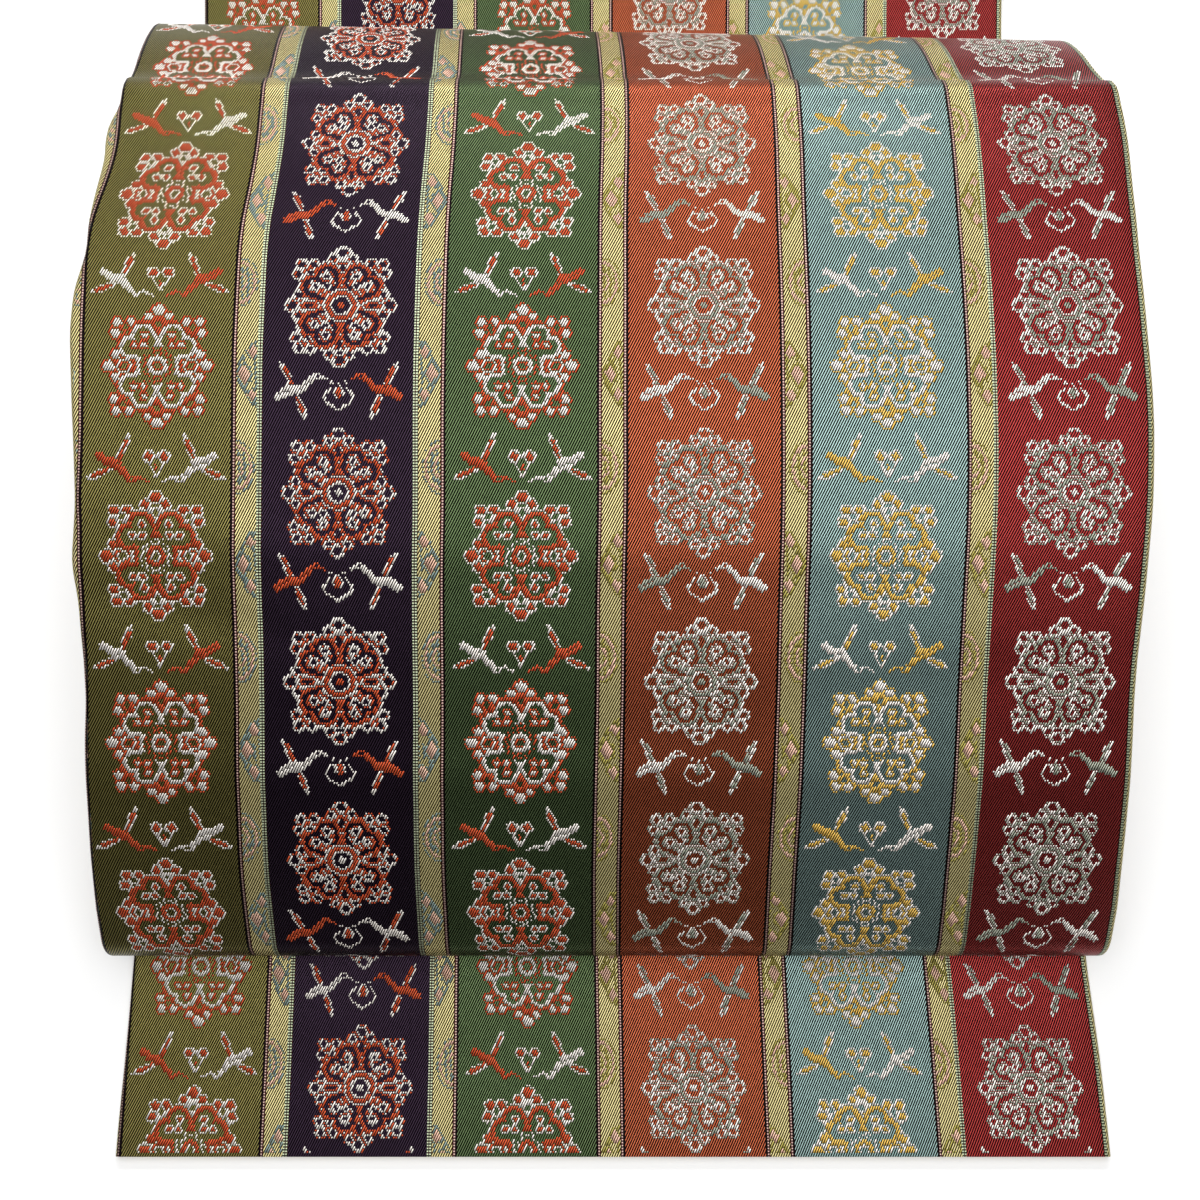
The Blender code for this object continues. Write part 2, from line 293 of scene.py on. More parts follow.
def blend(before: Place, start: Place, end: Place, after: Place, t: float) -> Place:
    """One place of the cubic that passes start and end, heeding their chords' lengths.

    Args:
        before: the row before start.
        start: where t is 0.
        end: where t is 1.
        after: the row after end.
        t: how far along.

    Returns:
        The place.
    """
    chord = math.hypot(end.back - start.back, end.height - start.height)
    first = math.hypot(start.back - before.back, start.height - before.height) or chord
    last = math.hypot(after.back - end.back, after.height - end.height) or chord
    values = []
    for a, b, c, d in zip(before, start, end, after):
        leave = ((b - a) / first * chord + (c - b) / chord * first) * chord / (first + chord)
        reach = ((c - b) / chord * last + (d - c) / last * chord) * chord / (last + chord)
        values.append(
            (2 * t**3 - 3 * t**2 + 1) * b
            + (t**3 - 2 * t**2 + t) * leave
            + (3 * t**2 - 2 * t**3) * c
            + (t**3 - t**2) * reach
        )
    return Place(*values)


def spline(places: Sequence[Place], spacing: float) -> list[Place]:
    """A smooth curve through a table's rows.

    Args:
        places: the rows.
        spacing: about how far apart the curve's places are.

    Returns:
        The curve's places, with both ends.
    """
    rows = [places[0], *places, places[-1]]
    found = []
    for before, start, end, after in zip(rows, rows[1:], rows[2:], rows[3:]):
        length = math.hypot(end.back - start.back, end.height - start.height)
        steps = max(1, round(length / spacing))
        found += [blend(before, start, end, after, index / steps) for index in range(steps)]
    return found + [places[-1]]


def run(first: Place, last: Place, spacing: float) -> list[Place]:
    """A straight run.

    Args:
        first: where it starts.
        last: where it ends.
        spacing: about how far apart its places are.

    Returns:
        Its places, without the first one.
    """
    steps = max(1, round(abs(last.back - first.back) / spacing))
    shares = [index / steps for index in range(1, steps + 1)]
    return [Place(*(a + (b - a) * share for a, b in zip(first, last))) for share in shares]


@dataclass
class Band:
    """The whole band's course, and where each stretch starts in it."""

    tail_spacing: float = 6.0
    drum_spacing: float = 3.0
    strap_spacing: float = 4.5
    stack_spacing: float = 18.0
    hidden_fold_steps: int = 12
    settle_steps: int = 8
    roll_steps: int = 20
    foot_steps: int = 10
    last_fold_steps: int = 14
    near_fold_steps: int = 10
    far_fold_steps: int = 12
    names: list[str] = field(default_factory=list)
    firsts: list[int] = field(default_factory=list)  # each stretch's first row, and the last row
    rows: Array = field(init=False)  # back, height, drift and slant
    along: Array = field(init=False)
    reverse: Array = field(init=False)  # (back, height) directions from the patterned face in

    def __post_init__(self) -> None:
        """Lay the band out, stretch by stretch."""
        places: list[Place] = []
        for name, course in (
            ("tail", self.tail()),
            ("return", self.returning()),
            ("drum", self.drum()),
            ("strap", self.strap()),
            ("stack", self.stack()),
        ):
            self.names.append(name)
            self.firsts.append(max(0, len(places) - 1))
            places += course[1:] if places else course
        self.firsts.append(len(places) - 1)
        self.rows = np.array(places)
        steps = np.hypot(np.diff(self.rows[:, 0]), np.diff(self.rows[:, 1]))
        self.along = np.concatenate(([0.0], np.cumsum(steps)))
        heading = np.diff(self.rows[:, :2], axis=0) / steps[:, None]
        heading = np.vstack((heading[:1], heading[:-1] + heading[1:], heading[-1:]))
        heading /= np.hypot(heading[:, 0], heading[:, 1])[:, None]
        self.reverse = np.stack((heading[:, 1], -heading[:, 0]), axis=1)

    def tail(self) -> list[Place]:
        """The tail, flat on the surface from its free end to the hidden fold."""
        backs, drifts = zip(*TAIL_DRIFTS)
        steps = round(HIDDEN_FOLD_BACK / self.tail_spacing)
        spots = [HIDDEN_FOLD_BACK * index / steps for index in range(steps + 1)]
        return [Place(back, TAIL_TOP, float(np.interp(back, backs, drifts))) for back in spots]

    def returning(self) -> list[Place]:
        """From the hidden fold forward on top of the tail to where the drum's roll starts."""
        radius = HIDDEN_FOLD_RADIUS
        steps = self.hidden_fold_steps
        course = arc(HIDDEN_FOLD_BACK, TAIL_TOP + radius, radius, -90, 90, steps, RETURN_DRIFT)
        lift = 2 * radius - SEAM
        for index in range(1, self.settle_steps + 1):
            share = index / self.settle_steps
            ease = (1 - share) ** 2 * (1 + 2 * share)
            back = HIDDEN_FOLD_BACK - LAYER_SETTLES * share
            course.append(Place(back, LAYER_FACE + lift * ease, RETURN_DRIFT))
        end = Place(ROLL_CENTRE_BACK, LAYER_FACE, ROLL_DRIFT)
        return course + run(course[-1], end, self.tail_spacing)

    def drum(self) -> list[Place]:
        """The roll at the bottom, the slope, the roof with its ridge, the back wall and the foot."""
        radius = ROLL_RADIUS
        middle = (ROLL_CENTRE_BACK, LAYER_FACE + radius)
        roll = arc(*middle, radius, 270, ROLL_END_ANGLE, self.roll_steps, ROLL_DRIFT)
        radius = FOOT_RADIUS
        middle = (FOOT_CENTRE_BACK, TAIL_TOP + radius)
        foot = arc(*middle, radius, 180, 270, self.foot_steps, FOOT_DRIFT)
        return roll + spline(DRUM_PLACES, self.drum_spacing) + foot

    def strap(self) -> list[Place]:
        """From the foot over the stack's near end, along its top and round the last fold."""
        top = spline((self.drum()[-1], *STRAP_PLACES), self.strap_spacing)
        radius = LAST_FOLD_RADIUS
        middle = (FAR_END_BACK - radius, STRAP_TOP - radius)
        return top + arc(*middle, radius, 90, -90, self.last_fold_steps, top[-1].drift)

    def stack(self) -> list[Place]:
        """Down the stack, layer by layer, to the band's other free end."""
        inner = LAYER_GAP / 2
        outer = WALL + inner
        here = self.strap()[-1]
        course = [here]
        for index, near in enumerate(NEAR_FOLDS):
            level = (LAYERS - 1 - 2 * index) * LAYER_PITCH
            turn = near.back + outer
            course += run(here, Place(turn, level, near.slip), self.stack_spacing)
            course += arc(turn, level - inner, inner, 90, 270, self.near_fold_steps, near.slip)[1:]
            here = course[-1]
            if index < len(FAR_FOLDS):
                far = FAR_FOLDS[index]
                turn = far.back - outer
                course += run(here, Place(turn, here.height, far.slip), self.stack_spacing)
                middle = here.height - outer
                course += arc(turn, middle, outer, 90, -90, self.far_fold_steps, far.slip)[1:]
                here = course[-1]
        return course + run(here, Place(FREE_END.back, here.height, FREE_END.slip), self.stack_spacing)

    def span(self, name: str) -> slice:
        """The rows of a stretch, with both ends."""
        index = self.names.index(name)
        return slice(self.firsts[index], self.firsts[index + 1] + 1)

    def start(self, name: str) -> float:
        """Where a stretch starts along the band."""
        return float(self.along[self.span(name)][0])

    def length(self, name: str) -> float:
        """How long a stretch is along the band."""
        spots = self.along[self.span(name)]
        return float(spots[-1] - spots[0])


@dataclass(frozen=True)
class Anchor:
    """Where the band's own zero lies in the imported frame, in metres."""

    x: float
    y: float

    @classmethod
    def of_tail(cls) -> Anchor:
        """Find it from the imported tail."""
        low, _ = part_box("tail_stretch")
        widest = min(row.drift for row in TAIL_DRIFTS)
        return cls(low.x + (HALF_WIDTH - widest) * MM, low.y)

    def settled(self, points: Array) -> Array:
        """Points in the frame, in metres, from band millimetres."""
        return points * MM + np.array((self.x, self.y, 0.0))


# ---------------------------------------------------------------- the cloth shells


def put_in_scene(name: str, data: bpy.types.ID) -> bpy.types.Object:
    """Make an object of some data, at the origin of the scene.

    Args:
        name: the object's name.
        data: its mesh, light or camera.

    Returns:
        The object.
    """
    made = bpy.data.objects.new(name, data)
    bpy.context.scene.collection.objects.link(made)
    return made


def add_map(mesh: bpy.types.Mesh, name: str, places: Array) -> None:
    """Add a UV map from one place for each face corner."""
    made = mesh.uv_layers.new(name=name)
    made.uv.foreach_set("vector", np.ascontiguousarray(places, np.float32).reshape(-1))


def edge_pull(across: Array) -> Array:
    """How far a place follows the left edge as the cloth rolls round it, from 0 to 1."""
    return np.clip(-across / FLAT_HALF, 0.0, 1.0) ** EDGE_SHARPNESS


def surface_normals(points: Array, outward: Array) -> Array:
    """Unit normals of a grid of points.

    Args:
        points: rows along the band by columns across it.
        outward: one (back, height) direction for each row that the normals must agree with.

    Returns:
        A normal for each point.
    """
    across = np.gradient(points, axis=1)
    along = np.gradient(points, axis=0)
    normal = np.cross(across, along)
    normal /= np.linalg.norm(normal, axis=2)[:, :, None]
    agree = normal[:, :, 1] * outward[:, 0:1] + normal[:, :, 2] * outward[:, 1:2]
    return np.where(agree[:, :, None] < 0, -normal, normal)


@dataclass(frozen=True)
class Crease:
    """A soft trough or ridge across the cloth, from one place to another. Millimetres."""

    across: float
    along: float
    to_across: float
    to_along: float
    width: float
    rise: float  # below 0 for a trough
    end_share: float = 0.08  # of its length, at each end, that doesn't fade further
    fade: float = 0.6  # below 1, it fades late towards its ends

    def lift(self, across: Array, along: Array) -> Array:
        """How far it lifts the face at each place.

        Args:
            across: places across the cloth.
            along: places along the stretch.

        Returns:
            The lift towards the patterned side.
        """
        run_x = self.to_across - self.across
        run_y = self.to_along - self.along
        share = (across - self.across) * run_x + (along - self.along) * run_y
        held = np.clip(share / (run_x**2 + run_y**2), 0.0, 1.0)
        off = np.hypot(across - self.across - held * run_x, along - self.along - held * run_y)
        fade = np.sin(np.pi * np.clip(held, self.end_share, 1 - self.end_share)) ** self.fade
        return self.rise * fade * np.exp(-((off / self.width) ** 2))


@dataclass
class Stretch:
    """One stretch of the band: its closed shell, and the way from flat places to the cloth."""

    name: str
    band: Band
    anchor: Anchor
    creases: tuple[Crease, ...] = ()
    halvings: int = 16  # steps of the search for a place's column
    along: Array = field(init=False)
    rolls: Array = field(init=False)  # how much more cloth has come round the left edge
    points: Array = field(init=False)  # cross-sections by places round them, in metres
    normals: Array = field(init=False)  # of the patterned face
    map_across: Array = field(init=False)  # the points' places across the cloth map

    def __post_init__(self) -> None:
        """Lay the cross-sections along the stretch."""
        part = self.band.span(self.name)
        self.along = self.band.along[part]
        rows = self.band.rows[part]
        reverse = self.band.reverse[part]
        across, depths = self.ring()
        side = across / HALF_WIDTH
        left, self.rolls, right = self.wander()
        lateral = across - self.rolls[:, None] * edge_pull(across)
        shift = left[:, None] * np.maximum(0.0, -side) ** SIDE_SOFTNESS
        shift = shift + right[:, None] * np.maximum(0.0, side) ** SIDE_SOFTNESS
        depth = depths - self.lifts(across)
        points = np.empty((*depth.shape, 3))
        points[:, :, 0] = rows[:, 2:3] + lateral + shift
        points[:, :, 1] = rows[:, 0:1] - rows[:, 3:4] * side + reverse[:, 0:1] * depth
        points[:, :, 2] = np.maximum(rows[:, 1:2] + reverse[:, 1:2] * depth, 0.0)
        self.points = self.anchor.settled(points)
        self.normals = surface_normals(self.points[:, : len(FACE_PLACES)], -reverse)
        self.map_across = self.map_places(lateral[:, : len(FACE_PLACES)])

    def ring(self) -> tuple[Array, Array]:
        """One flat cross-section, from the left of the patterned face to the right and round.

        Returns:
            Its points' places across the band, and their depths below the patterned face.
        """
        beyond = WALL / 2 * np.sin(EDGE_TURN)
        depth = WALL / 2 * (1 - np.cos(EDGE_TURN))
        back_depth = np.full(len(BACK_PLACES), WALL)
        across = (FACE_PLACES, FLAT_HALF + beyond, BACK_PLACES, -FLAT_HALF - beyond)
        depths = (np.zeros(len(FACE_PLACES)), depth, back_depth, WALL - depth)
        return np.concatenate(across), np.concatenate(depths)

    def map_places(self, face: Array) -> Array:
        """Where the points lie across the cloth map: the face, its two edges and the reverse.

        Args:
            face: the patterned face's places, a row for each cross-section.

        Returns:
            Every point's place, in millimetres.
        """
        round_edge = WALL / 2 * EDGE_TURN
        right_and_back = np.concatenate((FLAT_HALF + round_edge, BACK_PLACES + REVERSE_SHIFT / MM))
        right_and_back = np.broadcast_to(right_and_back, (len(face), len(right_and_back)))
        left = -FLAT_HALF - round_edge[::-1] - self.rolls[:, None]
        return np.concatenate((face, right_and_back, left), axis=1)

    def wander(self) -> Array:
        """The left shift, the roll and the right shift of each cross-section."""
        table = np.array(SELVEDGES[self.name])
        spots = self.along - self.along[0]
        found = np.array([np.interp(spots, table[:, 0], table[:, column]) for column in (1, 2, 3)])
        padded = np.pad(found, ((0, 0), (1, 1)), mode="edge")
        return (padded[:, :-2] + 2 * found + padded[:, 2:]) / 4

    def lifts(self, across: Array) -> Array:
        """What the creases add.

        Args:
            across: the places round a ring.

        Returns:
            The lift of each place, a row for each cross-section.
        """
        total = np.zeros((len(self.along), len(across)))
        spots = (self.along - self.along[0])[:, None]
        for crease in self.creases:
            total += crease.lift(across, spots)
        return total

    def columns(self, across: Array, roll: Array) -> Array:
        """Where places of the cloth map fall among the face's columns.

        Args:
            across: the places.
            roll: the left edge's roll there.

        Returns:
            Column numbers with fractions.
        """
        number = np.arange(len(FACE_PLACES))
        pull = edge_pull(FACE_PLACES)
        low = np.zeros(across.shape)
        high = np.full(across.shape, len(FACE_PLACES) - 1.0)
        for _ in range(self.halvings):
            middle = (low + high) / 2
            found = np.interp(middle, number, FACE_PLACES) - roll * np.interp(middle, number, pull)
            beyond = found > across
            high = np.where(beyond, middle, high)
            low = np.where(beyond, low, middle)
        return (low + high) / 2

    def on_cloth(self, flat: Array) -> Array:
        """Carry flat places onto the cloth.

        Args:
            flat: rows of (across, along, height over the face), in metres.

        Returns:
            Their points in space, in metres.
        """
        along = flat[:, 1] / MM
        spot = np.interp(along, self.along, np.arange(len(self.along)))
        column = self.columns(flat[:, 0] / MM, np.interp(along, self.along, self.rolls))
        row = np.minimum(spot.astype(int), len(self.along) - 2)
        step = np.minimum(column.astype(int), len(FACE_PLACES) - 2)
        down = (spot - row)[:, None]
        over = (column - step)[:, None]

        def between(values: Array) -> Array:
            """Values between the corners of the face's grid.

            Args:
                values: one for each corner.

            Returns:
                One for each flat place.
            """
            near = values[row, step] * (1 - over) + values[row, step + 1] * over
            far = values[row + 1, step] * (1 - over) + values[row + 1, step + 1] * over
            return near * (1 - down) + far * down

        normal = between(self.normals)
        normal /= np.linalg.norm(normal, axis=1)[:, None]
        return between(self.points) + normal * flat[:, 2:3]

    def shell(self, piece: str) -> bpy.types.Object:
        """The stretch as one closed wall of cloth.

        Args:
            piece: the new object's name.

        Returns:
            The object, with its two UV maps and no material yet.
        """
        sections, count = self.points.shape[:2]
        index = np.arange(sections * count).reshape(sections, count)
        beside = np.roll(index, -1, axis=1)
        quads = np.stack((index[:-1], index[1:], beside[1:], beside[:-1]), axis=-1).reshape(-1, 4)
        ends = [index[0].tolist(), index[-1][::-1].tolist()]
        mesh = bpy.data.meshes.new(piece)
        mesh.from_pydata(self.points.reshape(-1, 3).tolist(), [], quads.tolist() + ends)
        cloth = self.cloth_places()
        add_map(mesh, CLOTH_MAP, cloth)
        add_map(mesh, BAKE_MAP, self.laid_flat(cloth))
        mesh.shade_smooth()
        mesh.set_sharp_from_angle(angle=SHARP_CORNER)
        return put_in_scene(piece, mesh)

    def cloth_places(self) -> Array:
        """The cloth map's place for each face corner of the shell, in metres."""
        sections, count = self.map_across.shape
        row, column = np.meshgrid(np.arange(sections - 1), np.arange(count), indexing="ij")
        beside = (column + 1) % count
        rows = np.stack((row, row + 1, row + 1, row), axis=-1).reshape(-1, 4)
        columns = np.stack((column, column, beside, beside), axis=-1).reshape(-1, 4)
        across = self.map_across[rows, columns]
        # A face where a side edge meets the reverse stays whole on the edge's side of the map.
        reverse = across > REVERSE_SHIFT / MM / 2
        mixed = reverse.any(axis=1) & ~reverse.all(axis=1)
        edge_end = FLAT_HALF + WALL / 2 * np.pi
        edge = np.where(across > REVERSE_SHIFT / MM, edge_end, -edge_end)
        across = np.where(reverse & mixed[:, None], edge, across)
        sides = np.stack((across, self.along[rows]), axis=-1).reshape(-1, 2) * MM
        ends = [[(REVERSE_SHIFT, spot * MM)] * count for spot in (self.along[0], self.along[-1])]
        return np.vstack((sides, *ends))

    def laid_flat(self, cloth: Array) -> Array:
        """The flat map's places for places of the cloth map.

        Args:
            cloth: rows of (across, along), in metres.

        Returns:
            Rows of places in the unit square.
        """
        reverse = cloth[:, 0] > REVERSE_SHIFT / 2
        across = cloth[:, 0] - reverse * REVERSE_SHIFT
        reach = (HALF_WIDTH + MAP_SPARE) * MM
        share = np.clip((across + reach) / (2 * reach), 0.0, 1.0)
        on_face = MAP_MARGIN + MAP_FACE * share
        on_reverse = MAP_REVERSE_FROM + MAP_REVERSE * share
        length = (self.along[-1] - self.along[0]) * MM
        share = (cloth[:, 1] - self.along[0] * MM) / length
        up = MAP_MARGIN + (1 - 2 * MAP_MARGIN) * share
        return np.stack((np.where(reverse, on_reverse, on_face), up), axis=1)


# ---------------------------------------------------------------- the brocade's chart

REPEAT = 55.67  # of the figures, along the cloth
RIB = 0.785  # between twill ribs, across the cloth
ROW = 0.7  # between the weft's rows, along the cloth
TWILL_ANGLE = math.radians(63.5)
LEAN = 1 / math.tan(TWILL_ANGLE)
LONGEST_FLOAT = 5  # rows that a thread passes over before it dives
LEFT_SPARE = 6.0  # how far beyond the left edge the figures go on, for the rolled cloth


class Thread(IntEnum):
    """What a place of the brocade shows: the ground, or one of the figure's two silks."""

    GROUND = 0
    LIGHT = 1
    SECOND = 2


GROUND, LIGHT, SECOND = Thread
BOTH_SILKS = LIGHT + SECOND  # less the number of one silk, it gives the other's


class Dot(NamedTuple):
    """A round spot of a figure, repeated in its four quarters. Millimetres."""

    across: float
    up: float
    radius: float

    def gap(self, x: Array, y: Array) -> Array:
        """Distance outside it, negative inside it."""
        return np.hypot(x - self.across, y - self.up) - self.radius


class Patch(NamedTuple):
    """An oval or a diamond of a figure: its middle, and half its sizes. Millimetres."""

    across: float
    up: float
    half_width: float
    half_height: float

    def oval(self, x: Array, y: Array) -> Array:
        """Distance from its middle, where 1 is an oval's outline."""
        return np.hypot((x - self.across) / self.half_width, (y - self.up) / self.half_height)

    def diamond(self, x: Array, y: Array) -> Array:
        """Distance from its middle, where 1 is a diamond's outline."""
        return np.abs(x - self.across) / self.half_width + np.abs(y - self.up) / self.half_height


class Stroke(NamedTuple):
    """A tapering stroke from one round end to another. Millimetres from the figure's middle."""

    across: float
    up: float
    radius: float
    to_across: float
    to_up: float
    to_radius: float
    thread: Thread

    def gap(self, x: Array, y: Array) -> Array:
        """Distance outside it, negative inside it.

        Args:
            x: distance across from the figure's middle.
            y: distance up from it.

        Returns:
            The distance for each place.
        """
        run_x = self.to_across - self.across
        run_y = self.to_up - self.up
        share = (x - self.across) * run_x + (y - self.up) * run_y
        share = np.clip(share / (run_x * run_x + run_y * run_y), 0.0, 1.0)
        near = np.hypot(x - self.across - share * run_x, y - self.up - share * run_y)
        return near - self.radius - share * (self.to_radius - self.radius)


def nearest_gap(dots: tuple[Dot, ...], x: Array, y: Array) -> Array:
    """Distance outside the nearest of several dots, negative inside it."""
    return np.min([dot.gap(x, y) for dot in dots], axis=0)


def checks(x: Array, y: Array, width: float, every: int = 2) -> Array:
    """A fine chequer, one row high, that picks one place in every few."""
    return (np.floor(x / width) + np.floor(y / ROW)) % every == 0


BERRIES = (
    Dot(0.2, 17.0, 1.6),
    Dot(2.9, 15.0, 1.25),
    Dot(8.3, 13.3, 1.35),
    Dot(12.0, 13.2, 1.4),
    Dot(12.7, 9.9, 1.35),
    Dot(12.4, 3.3, 1.4),
    Dot(14.4, 0.0, 1.75),
)


@dataclass(frozen=True)
class BerryMedallion:
    """The flower medallion of the olive, green and teal stripes, with berries round it."""

    lobes: tuple[Dot, ...] = (
        Dot(4.4, 9.1, 2.45),
        Dot(7.8, 5.6, 2.4),
        Dot(4.4, 5.3, 2.6),
        Dot(3.1, 7.4, 2.1),
    )
    seeds: tuple[Dot, ...] = (Dot(3.9, 9.2, 0.85), Dot(6.9, 6.1, 0.85), Dot(4.1, 6.1, 0.85))
    eyes: tuple[Dot, ...] = (Dot(0.0, 12.6, 0.75), Dot(9.9, 11.5, 0.8), Dot(9.7, 0.0, 0.85))
    line: float = 1.3  # round the lobes, in the light silk
    swapped_line: float = 1.7
    fill: float = 0.95  # round that line, in the second silk
    berry_ring: float = 0.65
    swapped_berry_inset: float = 0.1
    arm_half: float = 2.6  # the arms to the side berries
    arm_reach: float = 13.0
    stem_half: float = 2.4  # the stems to the end berries
    stem_from: float = 7.0
    stem_reach: float = 14.5
    waist_half: float = 2.4  # between the lobes and the side eyes
    waist_reach: float = 6.4
    eye_ring: float = 0.75
    eye_clear: float = 0.6  # of the lobes
    side_eye_ring: float = 1.5
    side_eye_half: float = 2.0
    seed_ring: float = 0.7
    check: float = 0.9
    core: float = 5.2  # chequered round middle, and what lies in it
    core_overlap: float = 0.4  # of the lobes
    squeeze: float = 0.95
    halo: float = 3.9
    heart: float = 3.0
    heart_ring: float = 1.6
    heart_eye: float = 0.95

    def paint(self, x: Array, y: Array, swapped: bool) -> Array:
        """Thread numbers of the medallion.

        Args:
            x: distance across from its middle.
            y: distance up from its middle.
            swapped: whether the two silks change places.

        Returns:
            A Thread value for each place.
        """
        x, y = np.abs(x), np.abs(y)
        lobe = nearest_gap(self.lobes, x, y)
        berry = nearest_gap(BERRIES, x, y)
        seed = nearest_gap(self.seeds, x, y)
        eye = nearest_gap(self.eyes, x, y)
        middle = np.hypot(x, y * self.squeeze)
        outside = (lobe > 0) & (middle > self.core)
        checked = checks(x, y, self.check)
        arm = (y < self.arm_half) & (x < self.arm_reach)
        stem = (x < self.stem_half) & (y > self.stem_from) & (y < self.stem_reach)
        waist = (y < self.waist_half) & (x < self.waist_reach)
        line = self.swapped_line if swapped else self.line
        berry_edge = -self.swapped_berry_inset if swapped else 0.0
        bed = (lobe < self.line + self.fill) | (berry < self.berry_ring) | arm | stem
        thread = np.zeros(x.shape, np.int8)
        thread[outside & bed] = SECOND
        thread[outside & ((lobe < line) | (berry < berry_edge) | waist)] = LIGHT
        thread[(eye < self.side_eye_ring) & (y < self.side_eye_half)] = LIGHT
        thread[(eye < self.eye_ring) & (lobe > self.eye_clear)] = SECOND
        thread[eye < 0] = GROUND
        thread[seed < self.seed_ring] = SECOND
        thread[seed < 0] = LIGHT
        thread[(middle < self.core) & (lobe > -self.core_overlap) & checked] = SECOND
        thread[(middle < self.halo) & (middle > self.heart) & checked] = SECOND
        thread[middle < self.heart] = LIGHT
        thread[middle < self.heart_ring] = SECOND
        thread[middle < self.heart_eye] = GROUND
        return np.where(thread > 0, BOTH_SILKS - thread, GROUND) if swapped else thread


@dataclass(frozen=True)
class LaceMedallion:
    """The medallion of the purple, orange and red stripes, drawn like lace."""

    berries: tuple[Dot, ...] = (*BERRIES, Dot(9.3, 10.2, 1.2))
    lobes: tuple[Dot, ...] = (
        Dot(4.4, 9.2, 3.1),
        Dot(8.0, 5.8, 3.1),
        Dot(5.2, 4.6, 3.1),
        Dot(3.3, 7.2, 2.4),
    )
    curls: tuple[Dot, ...] = (Dot(4.3, 9.2, 0.45), Dot(7.6, 5.9, 0.45), Dot(4.4, 6.2, 0.45))
    corner: Dot = Dot(9.6, 11.0, 2.6)
    slit: Patch = Patch(0.0, 12.0, 0.75, 1.5)
    side: Patch = Patch(9.4, 0.0, 3.4, 1.7)
    side_rings: tuple[tuple[float, Thread], ...] = ((1.05, LIGHT), (0.72, SECOND), (0.4, GROUND))
    heart_rings: tuple[tuple[float, Thread], ...] = (
        (5.3, LIGHT),
        (4.6, SECOND),
        (3.3, LIGHT),
        (2.4, GROUND),
    )
    heart_eye: float = 1.2
    band: float = 1.95  # of lace round the lobes
    berry_ring: float = 0.72
    arm_half: float = 2.4  # the arms to the side berries
    arm_reach: float = 13.0
    stem_half: float = 2.2  # the stems to the end berries
    stem_reach: float = 14.5
    line: float = 0.72  # along the rim, in the light silk
    bed: float = 0.85  # round the lobes, in the second silk
    groove: float = 1.0  # of bare ground inside the lobes' outline
    berry_edge: float = 0.1
    berry_eye: float = 0.55  # how deep in a berry its eye starts
    curl_ring: float = 1.0
    curl_eye: float = 0.15
    check: float = 0.8

    def paint(self, x: Array, y: Array, swapped: bool) -> Array:
        """Thread numbers of the medallion.

        Args:
            x: distance across from its middle.
            y: distance up from its middle.
            swapped: whether the two silks change places.

        Returns:
            A Thread value for each place.
        """
        x, y = np.abs(x), np.abs(y)
        lobe = nearest_gap(self.lobes, x, y)
        berry = nearest_gap(self.berries, x, y)
        curl = nearest_gap(self.curls, x, y)
        outside = lobe > 0
        inside = lobe < -self.groove
        bed = outside & (lobe < self.bed)
        arm = np.maximum(y - self.arm_half, x - self.arm_reach)
        stem = np.maximum(x - self.stem_half, y - self.stem_reach)
        lace = (lobe - self.band, berry - self.berry_ring, self.corner.gap(x, y), arm, stem)
        rim = np.min(lace, axis=0)
        thread = np.zeros(x.shape, np.int8)
        thread[outside & (rim < 0)] = SECOND
        if not swapped:
            thread[outside & (rim < 0) & (rim > -self.line)] = LIGHT
        berry_silk = outside & (berry < self.berry_edge) & (berry > -self.berry_eye)
        thread[berry_silk & (checks(x, y, self.check) | swapped)] = LIGHT
        thread[outside & (berry < -self.berry_eye)] = GROUND
        thread[bed | inside] = SECOND
        net = checks(x, y, self.check, every=3)
        thread[net & ~bed & (thread == SECOND)] = LIGHT
        thread[(curl < self.curl_ring) & inside] = LIGHT
        thread[(curl < self.curl_eye) & inside] = GROUND
        for radius, value in (*self.heart_rings, (self.heart_eye, LIGHT if swapped else SECOND)):
            thread[np.hypot(x, y) < radius] = value
        thread[self.slit.oval(x, y) < 1] = GROUND
        for radius, value in self.side_rings:
            thread[self.side.oval(x, y) < radius] = value
        return thread


@dataclass(frozen=True)
class BirdRow:
    """Two birds facing each other over a small ornament."""

    bird: tuple[Stroke, ...]  # LIGHT stands for its own silk
    wings: tuple[Stroke, ...]  # the same silks on both birds
    dots: tuple[Dot, ...]
    dot_ring: float
    marks: tuple[Stroke, ...]

    def paint(self, x: Array, y: Array, swapped: bool) -> Array:
        """Thread numbers of the row.

        Args:
            x: distance across from its middle.
            y: distance up from its middle.
            swapped: whether the left bird is the light one.

        Returns:
            A Thread value for each place.
        """
        thread = np.zeros(x.shape, np.int8)
        for outward, light_bird in ((x, swapped), (-x, not swapped)):
            for wing in self.wings:
                thread[wing.gap(outward, y) < 0] = wing.thread
            for stroke in self.bird:
                own = stroke.thread
                if own and not light_bird:
                    own = BOTH_SILKS - own
                thread[stroke.gap(outward, y) < 0] = own
        x = np.abs(x)
        near = nearest_gap(self.dots, x, y)
        thread[near < self.dot_ring] = LIGHT
        thread[near < 0] = SECOND
        for mark in self.marks:
            thread[mark.gap(x, y) < 0] = mark.thread
        return thread


